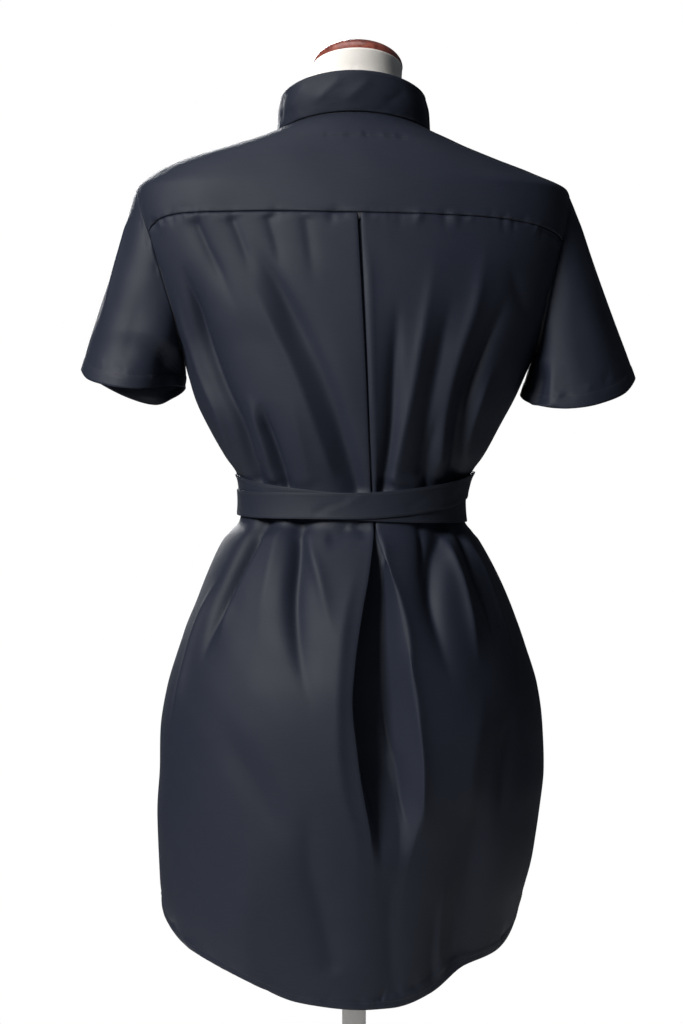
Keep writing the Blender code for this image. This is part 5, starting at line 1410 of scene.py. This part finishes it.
add_camera()
for build_group in (fine_weave, weft_slubs, soft_variation, rubbed_edge):
    build_group()
CLOTH = woven_material(
    "black_cloth", (0.007, 0.010, 0.019), (0.018, 0.022, 0.036), 0.58, Specular_IOR_Level=0.23
)
BELT = woven_material(
    "belt_cloth", (0.008, 0.011, 0.019), (0.019, 0.023, 0.036), 0.58, Specular_IOR_Level=0.24
)
TURNED_IN = woven_material("turned_in_cloth", (0.008, 0.009, 0.013), (0.014, 0.016, 0.022), 0.60)
COVER = woven_material("form_cover", (0.80, 0.77, 0.71), (0.95, 0.93, 0.88), 0.85, 1100.0, 5.0, 0.00018)
SEWING_THREAD = thread_material("sewing_thread", (0.010, 0.011, 0.014), (0.030, 0.032, 0.040))
BUTTON_PLASTIC = even_material(
    "button_plastic", (0.010, 0.010, 0.012), (0.045, 0.045, 0.050), 0.25, (90.0, 900.0), 0.0, 1.0, (0.20, 0.38),
    (0.15, 0.00005), Specular_IOR_Level=0.55,
)
CAP_WOOD = wood_material("cap_wood", (0.12, 0.025, 0.018), (0.27, 0.075, 0.050))
STAND_PAINT = even_material(
    "stand_paint", (0.70, 0.69, 0.67), (0.82, 0.81, 0.79), 0.4, (14.0, 700.0), 1.0, -0.5, (0.34, 0.5),
    (0.2, 0.0002),
)

CREASES = body_creases()

# Dress form and stand
torso = finish_piece(form_torso(), "form_cover", "form_torso")
finish_piece(neck_cap(), "cap_wood", "form_neck_cap")
add_stand()

# Back and yoke
back, yoke = back_grid(), yoke_grid()
back_piece = finish_piece(grid_piece("back_panel_cloth", back, CLOTH, SHELL), "cloth", "back_panel")
yoke_piece = finish_piece(grid_piece("back_yoke_cloth", yoke, CLOTH, SHELL), "cloth", "back_yoke")
back_hem = stitches("back_hem_stitches", *grid_line(back, outward(back), HEM_DEPTH - 0.001))
past_seam = YOKE_SHOULDER_COLUMNS + YOKE_WRAP_COLUMNS
yoke_line = (part[past_seam:-past_seam] for part in grid_line(yoke, outward(yoke), EDGE_STITCH * 0.7))
neck_angles, neck_heights = np.linspace(*NECK_STITCHES_REACH, 60), np.full(60, NECK_STITCHES)
neck_row = body_cloth(neck_angles, neck_heights, 0.0001), ring_normal(BODY_RINGS, neck_angles, neck_heights)
yoke_sewn = [
    stitches("yoke_stitches", *yoke_line),
    allowance("yoke_allowance", *yoke_seam(0.985, 200), 0.0, 0.006),
    stitches("yoke_neck_stitches", *neck_row),
]

# Fronts, with their hems, plackets and side seams
for side, plackets in ((1, ((2, -18),)), (-1, ((1, 3), (2, 17)))):
    points = front_grid(side)
    facing = outward(points)
    piece = grid_piece(name_of("front_cloth", side), points, CLOTH, SHELL)
    finish_piece(piece, "cloth", name_of("front", side))
    sewn = [stitches(name_of("front_hem_stitches", side), *grid_line(points, facing, HEM_DEPTH - 0.001))]
    for number, column in plackets:
        name = f"{name_of('placket_stitches', side)}_{number}"
        sewn.append(stitches(name, points[:, column], facing[:, column]))
    heights = np.linspace(float(read_rows(HEM, side * 90.0)) + 0.002, UNDERARM - 0.004, 160)
    sewn.append(allowance(name_of("side_allowance", side), np.full(160, side * 90.0), heights, side * 3.2, 0.0))

# Collar
points = collar_grid()
piece = finish_piece(grid_piece("stand_collar_cloth", points, CLOTH, COLLAR_SHELL), "cloth", "stand_collar")
sewn = [
    stitches("collar_top_stitches", *grid_line(points, outward(points), 0.0030, low=False)),
    stitches("collar_seam_stitches", *grid_line(points, outward(points), 0.0024)),
    neck_allowance(),
]

# Sleeves
for side in (1, -1):
    points, out = (part[::-1] for part in sleeve_grid(side))
    piece = grid_piece(name_of("sleeve_cloth", side), points[:, ::-side], CLOTH, SHELL, closed=True)
    finish_piece(piece, "cloth", name_of("sleeve", side))
    sewn = [
        stitches(name_of("sleeve_hem_stitches", side), *grid_line(points, out, SLEEVE_HEM_DEPTH, closed=True)),
        armhole_allowance(side),
    ]

# Belt
for turn, lift in (("inner", INNER_TURN_LIFT), ("outer", OUTER_TURN_LIFT)):
    points, out = belt_grid(turn, lift)
    piece = grid_piece(f"belt_{turn}_turn_cloth", points, BELT, BELT_SHELL, closed=True)
    finish_piece(piece, "belt_cloth", f"belt_{turn}_turn")
    sewn = []
    for name, low in (("lower", True), ("upper", False)):
        line = grid_line(points, out, EDGE_STITCH, low, closed=True)
        sewn.append(stitches(f"belt_{turn}_{name}_stitches", *line, "belt_cloth"))
knot = finish_piece(knot_piece(), "belt_cloth", "belt_knot")
for side in (1, -1):
    points = belt_end_grid(side)
    facing = outward(points)
    piece = grid_piece(name_of("belt_end_cloth", side), points, BELT, BELT_SHELL)
    finish_piece(piece, "belt_cloth", name_of("belt_end", side))
    sewn = []
    for number, column in enumerate((2, -3), 1):
        name = f"{name_of('belt_end_stitches', side)}_{number}"
        sewn.append(stitches(name, points[:, column], facing[:, column], "belt_cloth"))

add_buttons()
add_lights()
add_surroundings()
